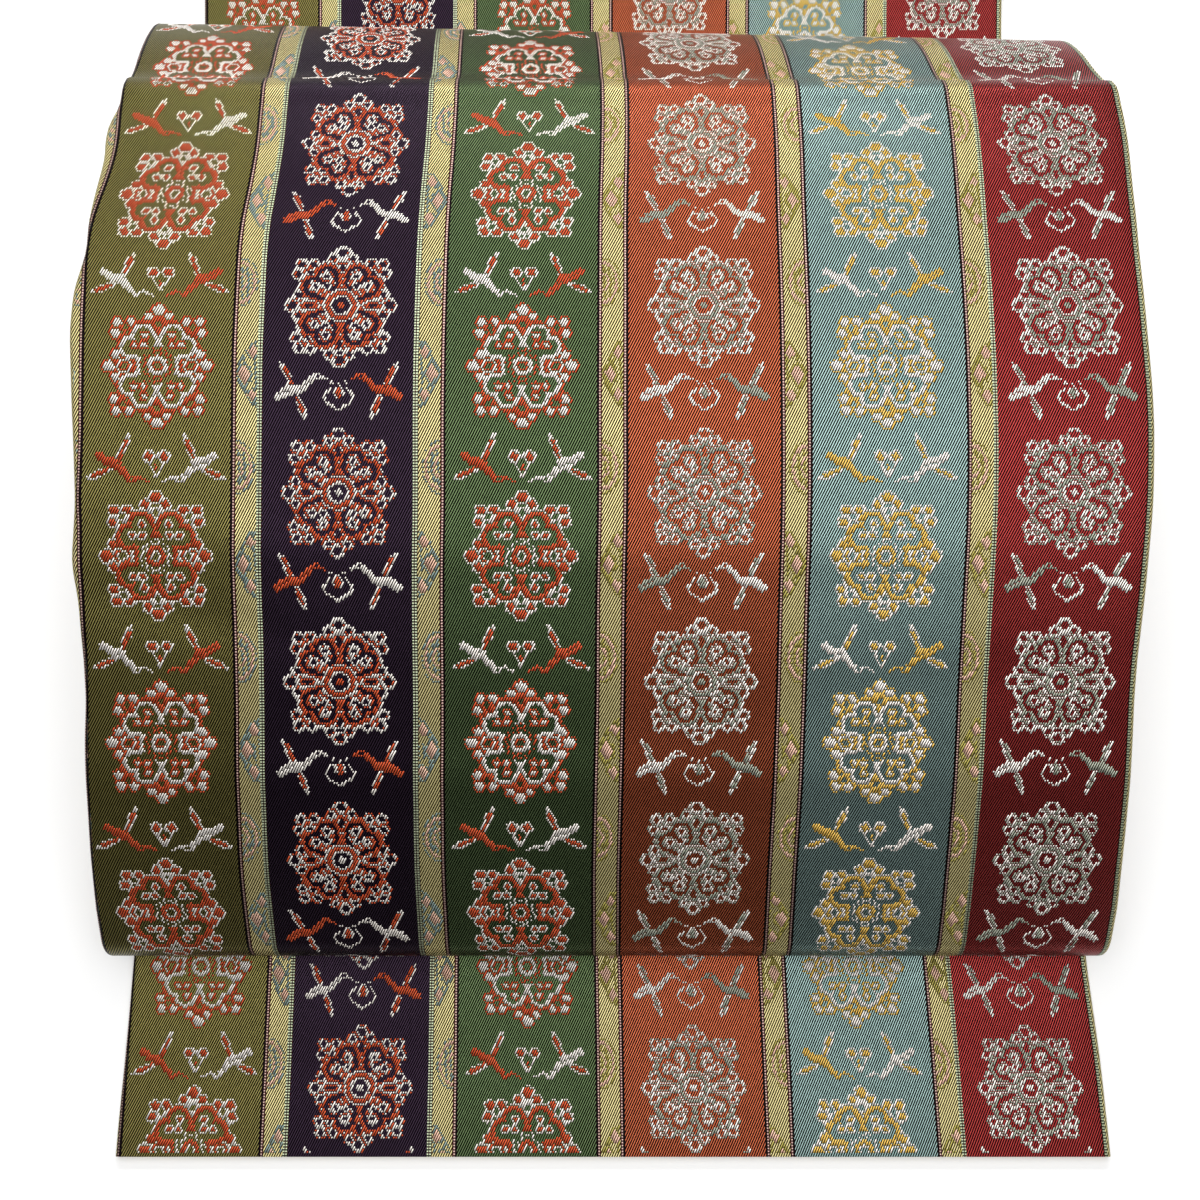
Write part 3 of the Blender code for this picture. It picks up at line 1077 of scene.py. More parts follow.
DIVING_ROW = BirdRow(
    bird=(
        Stroke(-16.9, -0.3, 1.3, -14.0, -1.8, 1.0, LIGHT),
        Stroke(-15.4, -2.2, 0.7, -14.0, -2.4, 1.0, LIGHT),
        Stroke(-13.4, -2.2, 1.6, -11.7, -2.8, 1.75, LIGHT),
        Stroke(-10.9, -3.6, 1.2, -8.2, -6.6, 1.0, LIGHT),
        Stroke(-7.5, -7.2, 1.15, -6.7, -7.3, 1.05, LIGHT),
        Stroke(-6.0, -6.9, 0.6, -4.7, -6.6, 0.55, LIGHT),
        Stroke(-4.7, -6.7, 0.5, -2.2, -7.9, 0.42, LIGHT),
        Stroke(-6.9, -7.1, 0.42, -6.8, -7.1, 0.42, GROUND),
    ),
    wings=(
        Stroke(-11.2, -1.3, 0.9, -9.2, 3.2, 1.3, LIGHT),
        Stroke(-9.2, 3.2, 1.3, -8.1, 5.8, 0.6, LIGHT),
        Stroke(-10.8, -1.0, 0.45, -8.9, 3.8, 0.65, SECOND),
        Stroke(-13.7, -4.3, 0.9, -17.6, -6.0, 1.35, LIGHT),
        Stroke(-17.6, -6.0, 1.3, -19.8, -6.9, 0.6, LIGHT),
        Stroke(-14.4, -4.5, 0.5, -18.3, -6.2, 0.7, SECOND),
    ),
    dots=(Dot(2.25, -0.5, 1.15),),
    dot_ring=0.85,
    marks=(
        Stroke(0.0, -0.6, 0.5, 0.1, -0.6, 0.5, LIGHT),
        Stroke(2.1, -2.8, 0.4, 0.45, -5.6, 0.4, LIGHT),
        Stroke(0.0, -6.1, 0.7, 0.1, -6.1, 0.7, LIGHT),
        Stroke(0.0, -3.0, 0.4, 0.1, -4.4, 0.4, SECOND),
    ),
)
CLIMBING_ROW = BirdRow(
    bird=(
        Stroke(-17.7, -1.0, 1.3, -15.3, 0.2, 1.2, LIGHT),
        Stroke(-16.6, 0.7, 0.9, -15.2, 0.8, 1.1, LIGHT),
        Stroke(-14.4, 1.0, 1.6, -12.0, 1.0, 1.4, LIGHT),
        Stroke(-10.9, 1.3, 1.15, -7.6, 4.7, 0.95, LIGHT),
        Stroke(-6.8, 5.2, 1.1, -5.9, 5.3, 1.0, LIGHT),
        Stroke(-5.0, 5.0, 0.55, -3.7, 4.3, 0.42, LIGHT),
        Stroke(-6.4, 5.2, 0.42, -6.3, 5.2, 0.42, GROUND),
    ),
    wings=(
        Stroke(-13.8, 2.5, 0.9, -15.6, 6.6, 1.2, LIGHT),
        Stroke(-15.6, 6.6, 1.2, -17.0, 8.8, 0.6, LIGHT),
        Stroke(-13.8, 3.0, 0.45, -15.8, 7.6, 0.6, SECOND),
        Stroke(-12.0, -1.0, 0.85, -10.6, -4.8, 1.2, LIGHT),
        Stroke(-10.6, -4.8, 1.15, -9.8, -6.9, 0.7, LIGHT),
        Stroke(-12.1, -1.4, 0.4, -10.5, -5.4, 0.6, SECOND),
    ),
    dots=(Dot(0.0, 0.4, 0.9),),
    dot_ring=0.95,
    marks=(
        Stroke(0.0, 1.5, 0.7, 0.1, -0.6, 0.7, SECOND),
        Stroke(0.0, 2.7, 0.5, 0.1, 2.7, 0.5, LIGHT),
        Stroke(1.9, 3.4, 0.55, 2.0, 3.3, 0.55, LIGHT),
        Stroke(2.5, 1.6, 0.45, 4.3, -0.7, 0.45, LIGHT),
        Stroke(4.3, -0.9, 0.45, 3.5, -2.7, 0.45, LIGHT),
        Stroke(3.4, -2.8, 0.45, 1.9, -3.5, 0.45, LIGHT),
        Stroke(1.7, -3.7, 0.45, 0.2, -4.8, 0.45, LIGHT),
    ),
)


class Silk(IntEnum):
    """The silks of the figures, by their numbers in the weave."""

    CREAM = 1
    VERMILION = 2
    SAGE = 3
    GOLD = 4
    PINK = 5
    SLATE = 6
    MOSS = 7


@dataclass(frozen=True)
class BorderFlowers:
    """The half lozenges along one edge of a border, and the half rosettes along the other."""

    first_lozenge: float = -0.5  # along the band
    lozenge_across: float = 6.4
    lozenge_up: float = 10.2
    lozenge_power: float = 1.35  # above 1, its sides bulge
    lozenge_line: float = 0.86  # where its outline starts
    petals: tuple[Patch, ...] = (Patch(3.7, 0.0, 1.9, 3.1), Patch(1.5, 6.4, 1.6, 2.4))
    petal_line: float = 1.45  # where its outline ends
    hole: Patch = Patch(1.9, 3.4, 0.9, 1.1)
    first_rosette: float = -28.0
    rosette: Patch = Patch(0.0, 0.0, 5.4, 8.0)
    outline_rings: tuple[tuple[float, float], ...] = ((0.91, 1.0), (0.48, 0.56))
    pink_rings: tuple[tuple[float, float], ...] = ((0.7, 0.86), (0.28, 0.4))
    speckled_to: float = 0.7
    heart: float = 0.28

    def paint(self, inset: Array, from_lace: Array, across: Array, along: Array,
              outline: Silk) -> Array:
        """Silk numbers of a border's half flowers.

        Args:
            inset: distance in from the edge next to the berry stripe.
            from_lace: distance in from its other edge.
            across: places across the band.
            along: places along the band.
            outline: the silk of their outlines.

        Returns:
            Silk numbers, 0 on the ground.
        """
        rib = np.round((across - along * LEAN) / RIB)
        speckle = (rib + np.floor(along / ROW / 2)) % 2 == 0
        silk = np.zeros(along.shape, np.int8)
        up = np.abs(nearest(along, self.first_lozenge)[0])
        lozenge = (from_lace / self.lozenge_across) ** self.lozenge_power
        lozenge = lozenge + (up / self.lozenge_up) ** self.lozenge_power
        silk[(lozenge < 1.0) & (speckle | (lozenge > self.lozenge_line))] = outline
        for petal in self.petals:
            silk[petal.diamond(from_lace, up) < self.petal_line] = outline
            silk[petal.diamond(from_lace, up) < 1.0] = Silk.PINK
        silk[self.hole.oval(from_lace, up) < 1.0] = GROUND
        ring = self.rosette.oval(inset, nearest(along, self.first_rosette)[0])
        for rings, ring_silk in ((self.outline_rings, outline), (self.pink_rings, Silk.PINK)):
            for low, high in rings:
                silk[(ring < high) & (ring >= low)] = ring_silk
        speckled = (ring < self.speckled_to) & (silk == GROUND) | (ring < self.heart)
        silk[speckled & speckle] = outline
        return silk


class Figures(NamedTuple):
    """What a stripe carries: medallions, and a row of birds below each."""

    medallion: BerryMedallion | LaceMedallion
    birds: BirdRow
    first: float  # the first medallion along the band
    birds_up: float  # from a medallion to its birds
    even_birds_swapped: bool  # whether the even or the odd rows have their silks swapped


BERRY_FIGURES = Figures(BerryMedallion(), DIVING_ROW, 1.85, -0.47 * REPEAT, True)
LACE_FIGURES = Figures(LaceMedallion(), CLIMBING_ROW, 20.3, -0.48 * REPEAT, False)


@dataclass(frozen=True)
class Stripe:
    """A lengthwise stripe and its figures."""

    left: float
    right: float
    centre: float
    figures: Figures
    second: Silk


@dataclass(frozen=True)
class Border:
    """A yellow band between two stripes, from its first to its last yellow thread."""

    left: float
    right: float
    berries_left: bool  # whether the stripe at its left carries the berry medallion
    outline: Silk


STRIPES = (
    Stripe(-157.0, -113.7, -135.4, BERRY_FIGURES, Silk.VERMILION),
    Stripe(-104.0, -60.3, -82.2, LACE_FIGURES, Silk.VERMILION),
    Stripe(-50.6, -6.6, -28.6, BERRY_FIGURES, Silk.VERMILION),
    Stripe(2.7, 46.4, 24.6, LACE_FIGURES, Silk.SAGE),
    Stripe(55.7, 100.1, 77.9, BERRY_FIGURES, Silk.GOLD),
    Stripe(110.0, 154.2, 132.1, LACE_FIGURES, Silk.SAGE),
)
BORDERS = (
    Border(-166.0, -158.7, False, Silk.SLATE),
    Border(-112.0, -106.1, True, Silk.SLATE),
    Border(-58.8, -52.5, False, Silk.SLATE),
    Border(-5.3, 0.8, True, Silk.MOSS),
    Border(48.2, 54.5, False, Silk.MOSS),
    Border(102.4, 108.7, True, Silk.MOSS),
)
BORDER_FLOWERS = BorderFlowers()


def nearest(along: Array, first: float) -> tuple[Array, Array]:
    """Distance up from the nearest repeat of a figure, and whether that repeat's number is even."""
    number = np.round((along - first) / REPEAT)
    return along - first - number * REPEAT, number % 2 == 0


def both_ways(paint: Callable[[Array, Array, bool], Array], x: Array, y: Array,
              swapped: Array) -> Array:
    """Paint a figure whose silks change places from one repeat to the next.

    Args:
        paint: the figure's method.
        x: distance across from the figure's middle.
        y: distance up from it.
        swapped: for each place, whether its repeat has them swapped.

    Returns:
        Thread numbers.
    """
    return np.where(swapped, paint(x, y, True), paint(x, y, False))


def weave(across: Array, along: Array) -> Array:
    """Silk numbers of the figures at each place of the band, 0 where the ground shows.

    Args:
        across: millimetres from the middle line.
        along: millimetres from the tail's free end.

    Returns:
        Silk numbers.
    """
    silk = np.zeros(across.shape, np.int8)
    for stripe in STRIPES:
        here = (across > stripe.left) & (across < stripe.right)
        x = across[here] - stripe.centre
        figures = stripe.figures
        up, even = nearest(along[here], figures.first)
        medallion = both_ways(figures.medallion.paint, x, up, even)
        up, even = nearest(along[here], figures.first + figures.birds_up)
        birds = both_ways(figures.birds.paint, x, up, even == figures.even_birds_swapped)
        thread = np.where(medallion > 0, medallion, birds)
        silk[here] = np.choose(thread, (0, Silk.CREAM, stripe.second))
    for border in BORDERS:
        here = (across > border.left) & (across < border.right)
        x = across[here]
        from_left, from_right = x - border.left, border.right - x
        sides = (from_left, from_right) if border.berries_left else (from_right, from_left)
        silk[here] = BORDER_FLOWERS.paint(*sides, x, along[here], border.outline)
    return silk


class Floats(NamedTuple):
    """Where threads float: their middles and lengths in millimetres, and their silk numbers."""

    across: Array
    along: Array
    length: Array
    silk: Array


def find_floats(start: float, end: float) -> Floats:
    """Follow each twill rib and gather the rows that one silk passes over.

    Args:
        start: where the figures start, along the band.
        end: where they end.

    Returns:
        The floats.
    """
    rows = np.arange(math.ceil(start / ROW), math.floor(end / ROW) + 1)
    low = math.floor((-HALF_WIDTH - LEFT_SPARE - rows[-1] * ROW * LEAN) / RIB)
    high = math.ceil((HALF_WIDTH - rows[0] * ROW * LEAN) / RIB)
    ribs = np.arange(low, high + 1)
    across = ribs[:, None] * RIB + rows[None, :] * ROW * LEAN
    silk = weave(across, np.broadcast_to(rows * ROW, across.shape))
    before = np.pad(silk, ((0, 0), (1, 0)))[:, :-1]
    after = np.pad(silk, ((0, 0), (0, 1)))[:, 1:]
    rib, first = np.nonzero((silk != before) & (silk > 0))
    _, last = np.nonzero((silk != after) & (silk > 0))
    # A long run of one silk is cut into floats that are about as long as each other.
    span = last - first + 1
    pieces = -(-span // LONGEST_FLOAT)
    of_run = np.repeat(np.arange(len(first)), pieces)
    number = np.arange(len(of_run)) - np.repeat(np.cumsum(pieces) - pieces, pieces)
    from_row = first[of_run] + span[of_run] * number // pieces[of_run]
    to_row = first[of_run] + span[of_run] * (number + 1) // pieces[of_run]
    middle = (from_row + to_row - 1) / 2 + rows[0]
    return Floats(
        ribs[rib[of_run]] * RIB + middle * ROW * LEAN,
        middle * ROW,
        (to_row - from_row) * ROW,
        silk[rib[of_run], from_row],
    )


# ---------------------------------------------------------------- finishes


def linear(red: int, green: int, blue: int) -> Colour:
    """Scene-linear colour of a display colour from 0 to 255."""

    def one(value: int) -> float:
        """One channel."""
        share = value / 255
        return share / 12.92 if share <= 0.04045 else ((share + 0.055) / 1.055) ** 2.4

    return (one(red), one(green), one(blue))


def set_stops(ramp: bpy.types.ColorRamp, stops: Sequence[tuple[float, Colour, float]]) -> None:
    """Give a ramp sharp-edged stops.

    Args:
        ramp: a colour ramp.
        stops: the place, colour and alpha of each.
    """
    ramp.interpolation = "CONSTANT"
    while len(ramp.elements) < len(stops):
        ramp.elements.new(0.5)
    for element, (spot, colour, alpha) in zip(ramp.elements, stops):
        element.position = spot
        element.color = (*colour, alpha)


def add_node(tree: bpy.types.NodeTree, kind: str, settings: dict[str, object] | None = None,
             inputs: dict[int | str, object] | None = None) -> bpy.types.Node:
    """Add one node: its settings first, then what its sockets hold or what feeds them.

    Args:
        tree: the tree that it joins.
        kind: its type.
        settings: its properties; "stops" gives a colour ramp's stops.
        inputs: values, or the sockets that feed them, by socket name or number.

    Returns:
        The node.
    """
    node = tree.nodes.new(kind)
    for name, value in (settings or {}).items():
        if name == "stops":
            set_stops(node.color_ramp, value)
        else:
            setattr(node, name, value)
    for name, value in (inputs or {}).items():
        if isinstance(value, bpy.types.NodeSocket):
            tree.links.new(value, node.inputs[name])
        else:
            node.inputs[name].default_value = value
    return node


class Wire:
    """A number socket that takes part in Python arithmetic, adding Math nodes as it goes."""

    def __init__(self, web: Web, socket: bpy.types.NodeSocket) -> None:
        """Wrap a socket of a web of nodes."""
        self.web = web
        self.socket = socket

    def beside(self, output: int) -> Wire:
        """Another output of the same node."""
        return Wire(self.web, self.socket.node.outputs[output])

    def math(self, operation: str, *others: Wire | float, first: float | None = None) -> Wire:
        """Add one Math node.

        Args:
            operation: the node's operation.
            others: the inputs after this one.
            first: a number that goes before this socket, for the reflected forms.

        Returns:
            The node's result.
        """
        values = [self, *others] if first is None else [first, self]
        return self.web.add("ShaderNodeMath", {"operation": operation}, dict(enumerate(values)))

    def __add__(self, other: Wire | float) -> Wire:
        """Sum."""
        return self.math("ADD", other)

    __radd__ = __add__

    def __sub__(self, other: Wire | float) -> Wire:
        """Difference."""
        return self.math("SUBTRACT", other)

    def __rsub__(self, other: float) -> Wire:
        """Difference from a number."""
        return self.math("SUBTRACT", first=other)

    def __mul__(self, other: Wire | float) -> Wire:
        """Product."""
        return self.math("MULTIPLY", other)

    __rmul__ = __mul__

    def __truediv__(self, other: Wire | float) -> Wire:
        """Quotient."""
        return self.math("DIVIDE", other)

    def __rtruediv__(self, other: float) -> Wire:
        """Quotient of a number by this."""
        return self.math("DIVIDE", first=other)

    def __gt__(self, other: Wire | float) -> Wire:
        """1 where it is greater, else 0."""
        return self.math("GREATER_THAN", other)

    def __lt__(self, other: Wire | float) -> Wire:
        """1 where it is less, else 0."""
        return self.math("LESS_THAN", other)

    def whole(self) -> Wire:
        """The whole number below."""
        return self.math("FLOOR")

    def wave(self) -> Wire:
        """A cosine wave from 0 to 1 that repeats at each whole number and peaks there."""
        return (self * math.tau).math("COSINE") * 0.5 + 0.5


@dataclass
class Web:
    """A material's nodes."""

    material: bpy.types.Material
    thread_shine: float = 0.1  # of the silk's plain, untinted shine
    cloudiness: float = 0.55  # how rough the noise is

    @classmethod
    def named(cls, name: str) -> Web:
        """Start a new material with no nodes.

        Args:
            name: the material's name.

        Returns:
            Its empty web.
        """
        material = bpy.data.materials.new(name)
        material.use_nodes = True
        material.node_tree.nodes.clear()
        return cls(material)

    def add(self, kind: str, settings: dict[str, object] | None = None,
            inputs: dict[int | str, object] | None = None, output: int | str = 0) -> Wire:
        """Add one node, as add_node does, that Wires may feed.

        Args:
            kind: its type.
            settings: its properties.
            inputs: values or Wires, by socket name or number.
            output: which output to return.

        Returns:
            That output.
        """
        fed = {
            name: value.socket if isinstance(value, Wire) else value
            for name, value in (inputs or {}).items()
        }
        node = add_node(self.material.node_tree, kind, settings, fed)
        return Wire(self, node.outputs[output])

    def mix(self, share: Wire, low: Wire | Colour, high: Wire | Colour) -> Wire:
        """Blend two colours.

        Args:
            share: how much of the second there is.
            low: the first colour.
            high: the second colour.

        Returns:
            The blend.
        """
        sides = [side if isinstance(side, Wire) else (*side, 1.0) for side in (low, high)]
        inputs = {0: share, 6: sides[0], 7: sides[1]}  # the numbers of the node's colour sockets
        return self.add("ShaderNodeMix", {"data_type": "RGBA"}, inputs, output=2)

    def cloth_places(self) -> tuple[Wire, Wire]:
        """Millimetres across and along the cloth, from its own map."""
        places = self.add("ShaderNodeUVMap", {"uv_map": CLOTH_MAP})
        across = self.add("ShaderNodeSeparateXYZ", None, {0: places})
        return across / MM, across.beside(1) / MM

    def noise(self, across: Wire, along: Wire, size: float, detail: float = 2.0) -> Wire:
        """Soft noise over the cloth.

        Args:
            across: millimetres across the cloth.
            along: millimetres along it.
            size: of the patches, about, in millimetres.
            detail: how much finer the finest are.

        Returns:
            The noise, from 0 to 1.
        """
        place = self.add("ShaderNodeCombineXYZ", None, {0: across / size, 1: along / size})
        return self.add(
            "ShaderNodeTexNoise",
            {"noise_dimensions": "2D"},
            {"Vector": place, "Scale": 1.0, "Detail": detail, "Roughness": self.cloudiness},
        )

    def finish(self, colour: Wire, roughness: Wire | float, gloss: Wire | float,
               bump: tuple[Wire, float] | None = None) -> bpy.types.Material:
        """Close the web with a cloth shader.

        Args:
            colour: base colour.
            roughness: roughness.
            gloss: share of the light that the thread's own colour tints as it shines back.
            bump: height from 0 to 1 and the relief in metres.

        Returns:
            The material.
        """
        inputs: dict[int | str, object] = {
            "Base Color": colour,
            "Roughness": roughness,
            "Metallic": gloss,
            "Specular IOR Level": self.thread_shine,
        }
        if bump:
            height, relief = bump
            bumps = {"Height": height, "Distance": relief, "Strength": 1.0}
            inputs["Normal"] = self.add("ShaderNodeBump", None, bumps)
        shader = self.add("ShaderNodeBsdfPrincipled", None, inputs)
        tree = self.material.node_tree
        add_node(tree, "ShaderNodeOutputMaterial", None, {"Surface": shader.socket})
        return self.material


@dataclass(frozen=True)
class Ground:
    """The ground weave's colours from one line of the cloth on."""

    start: float
    rib: Tone
    gap: Tone
    dotted: float = 0.0  # 1 where the warp shows as dots and not as the twill's ribs
    matt: float = 0.0  # 1 where the thread is less glossy


# Each: the ribs' colour, the gaps' colour, and how far the thread is dotted and matt.
YELLOW = ((235, 222, 158), (40, 26, 4), 0.0, 1.0)
BLACK = ((28, 16, 16), (4, 1, 2))
DARK = ((74, 34, 28), (16, 4, 4))
MAUVE = ((206, 172, 162), (44, 18, 20), 1.0)
MINT = ((196, 206, 172), (18, 22, 16), 1.0)
OLIVE = ((138, 130, 75), (4, 2, 0))
PURPLE = ((58, 43, 60), (1, 0, 1))
GREEN = ((99, 119, 80), (0, 2, 0))
ORANGE = ((199, 104, 70), (8, 0, 0))
TEAL = ((158, 186, 181), (2, 5, 4))
RED = ((174, 62, 60), (6, 0, 0))
GOLD = ((236, 208, 126), (132, 104, 40))


def edge_lines(tones: Sequence[tuple], *starts: float) -> tuple[Ground, ...]:
    """The lines that lie side by side where two stripes meet.

    Args:
        tones: the looks of the lines, from the left.
        starts: where each starts across the band.

    Returns:
        The lines.
    """
    return tuple(Ground(start, *tone) for start, tone in zip(starts, tones))


INTO_YELLOW = (BLACK, MAUVE, DARK, YELLOW)
OUT_OF_YELLOW = (DARK, MAUVE, BLACK)
LINES = (
    edge_lines((YELLOW, *OUT_OF_YELLOW, OLIVE), -200.0, -158.6, -158.25, -157.8, -157.0),
    (
        *edge_lines(INTO_YELLOW, -113.75, -113.05, -112.6, -112.15),
        *edge_lines((MINT, DARK, MINT, DARK, PURPLE), -106.1, -105.5, -105.2, -104.7, -104.5),
    ),
    (
        *edge_lines((MINT, DARK, MINT, DARK, YELLOW), -60.5, -60.0, -59.7, -59.1, -58.9),
        *edge_lines((*OUT_OF_YELLOW, GREEN), -52.5, -52.05, -51.6, -50.95),
    ),
    (
        *edge_lines(INTO_YELLOW, -6.85, -6.2, -5.75, -5.35),
        *edge_lines((*OUT_OF_YELLOW, ORANGE), 0.8, 1.2, 1.65, 2.35),
    ),
    (
        *edge_lines(INTO_YELLOW, 46.7, 47.35, 47.8, 48.2),
        *edge_lines((*OUT_OF_YELLOW, TEAL), 54.5, 54.9, 55.35, 56.0),
    ),
    (
        *edge_lines(INTO_YELLOW, 100.95, 101.6, 102.05, 102.4),
        *edge_lines((MINT, DARK, MINT, RED), 108.7, 109.3, 109.55, 110.0),
    ),
    edge_lines((DARK, MINT, YELLOW), 153.2, 153.6, 154.4),
)
REVERSE = Ground(0.0, *GOLD)


@dataclass(frozen=True)
class WovenGround:
    """The band's twill: striped on the patterned face, plain gold on the reverse."""

    name: str = "woven_silk"
    window: float = 14.0  # across, for one group of lines
    window_lead: float = 1.0  # how much of it lies before its first line
    leftmost: float = -164.0  # no window counts a line further left than this
    least_stop: float = 0.001  # a ramp's second stop comes after its first
    rib_level: float = 0.57  # of a cosine wave that stands for each rib
    rib_contrast: float = 2.6
    dot_pitch: float = 0.85
    relief: float = 0.00009  # metres
    cloud_size: float = 45.0
    thread_low: float = 0.9
    cloud_low: float = 0.85
    variation: float = 0.2
    roughness: float = 0.41
    polish: float = 0.06  # how much smoother the ribs are than the gaps
    cloud_bloom: float = 0.06  # how much rougher the cloth is in places
    gloss: float = 0.76
    matt_gloss: float = 0.52

    def grounds(self, web: Web, across: Wire) -> tuple[Wire, Wire, Wire, Wire]:
        """The stripes' and lines' colours across the band.

        Args:
            web: the material's nodes.
            across: millimetres across the band.

        Returns:
            The ribs' colour, the gaps' colour, and how far the thread there is dotted and matt.
        """
        return (*self.tones(web, across, "rib", "dotted"), *self.tones(web, across, "gap", "matt"))

    def tones(self, web: Web, across: Wire, tone: str, share: str) -> tuple[Wire, Wire]:
        """One colour across the band, and the share that goes with it in the ramps' alpha.

        Args:
            web: the material's nodes.
            across: millimetres across the band.
            tone: which of a Ground's colours.
            share: which of its shares.

        Returns:
            The colour and the share.
        """
        colour, total = None, 0.0
        before = LINES[0][0]
        for lines in LINES:
            origin = max(lines[0].start, self.leftmost) - self.window_lead
            spots = [max(self.least_stop, (line.start - origin) / self.window) for line in lines]
            stops = [
                (spot, linear(*getattr(line, tone)), getattr(line, share))
                for spot, line in zip((0.0, *spots), (before, *lines))
            ]
            place = (across - origin) / self.window
            group = web.add("ShaderNodeValToRGB", {"stops": stops}, {0: place})
            colour = web.mix(across > origin, colour, group) if colour else group
            total = group.beside(1) + total
            before = lines[-1]
        return colour, total

    def material(self) -> bpy.types.Material:
        """Build it."""
        web = Web.named(self.name)
        across, along = web.cloth_places()
        reverse = across > REVERSE_SHIFT / MM / 2
        turn = (across - along * LEAN) / RIB
        rib = (turn.wave() - self.rib_level) * self.rib_contrast + 0.5
        rib = rib.math("MAXIMUM", 0.0).math("MINIMUM", 1.0)
        ribs, dotted, gaps, matt = self.grounds(web, across)
        strength = rib * (1 - dotted) + (along / self.dot_pitch).wave() * dotted
        cell = {0: (turn + 0.5).whole(), 1: (along / ROW / 2).whole()}
        place = web.add("ShaderNodeCombineXYZ", None, cell)
        flat = {"noise_dimensions": "2D"}
        thread = web.add("ShaderNodeTexWhiteNoise", flat, {"Vector": place})
        cloud = web.noise(across, along, self.cloud_size)
        strength = strength * (self.thread_low + thread * self.variation)
        strength = strength * (self.cloud_low + cloud * self.variation)
        ribs = web.mix(reverse, ribs, linear(*REVERSE.rib))
        gaps = web.mix(reverse, gaps, linear(*REVERSE.gap))
        roughness = self.roughness - strength * self.polish + cloud * self.cloud_bloom
        gloss = matt * (self.matt_gloss - self.gloss) + self.gloss
        return web.finish(web.mix(strength, gaps, ribs), roughness, gloss, (strength, self.relief))


@dataclass(frozen=True)
class SilkFinish:
    """A figure silk: glossy thread that varies a little from place to place."""

    silk: Silk
    light: Tone
    shade: Tone
    patch_size: float = 9.0
    patch_detail: float = 3.0
    roughness: float = 0.36
    patch_bloom: float = 0.1  # how much rougher the thread is in places
    gloss: float = 0.55

    def material(self) -> bpy.types.Material:
        """Build it."""
        web = Web.named("silk_" + self.silk.name.lower())
        across, along = web.cloth_places()
        patch = web.noise(across, along, self.patch_size, self.patch_detail)
        colour = web.mix(patch, linear(*self.shade), linear(*self.light))
        return web.finish(colour, self.roughness + patch * self.patch_bloom, self.gloss)


SILKS = (
    SilkFinish(Silk.CREAM, (255, 249, 242), (236, 228, 219)),
    SilkFinish(Silk.VERMILION, (224, 104, 68), (196, 76, 42)),
    SilkFinish(Silk.SAGE, (182, 184, 168), (150, 154, 138)),
    SilkFinish(Silk.GOLD, (244, 206, 112), (218, 172, 76)),
    SilkFinish(Silk.PINK, (240, 202, 180), (220, 174, 152)),
    SilkFinish(Silk.SLATE, (150, 170, 164), (116, 138, 136)),
    SilkFinish(Silk.MOSS, (190, 180, 100), (150, 142, 68)),
)


@dataclass(frozen=True)
class StudioFloor:
    """The pale floor's paint."""

    name: str = "pale_floor"
    light: Tone = (246, 246, 246)
    shade: Tone = (243, 243, 243)
    speck_scale: float = 3.0
    roughness: float = 0.85

    def material(self) -> bpy.types.Material:
        """Build it."""
        web = Web.named(self.name)
        spots = web.add("ShaderNodeTexCoord", output="Object")
        noise = {"Vector": spots, "Scale": self.speck_scale, "Detail": 2.0}
        speck = web.add("ShaderNodeTexNoise", None, noise)
        colour = web.mix(speck, linear(*self.light), linear(*self.shade))
        return web.finish(colour, self.roughness, 0.0)


# ---------------------------------------------------------------- the figure threads


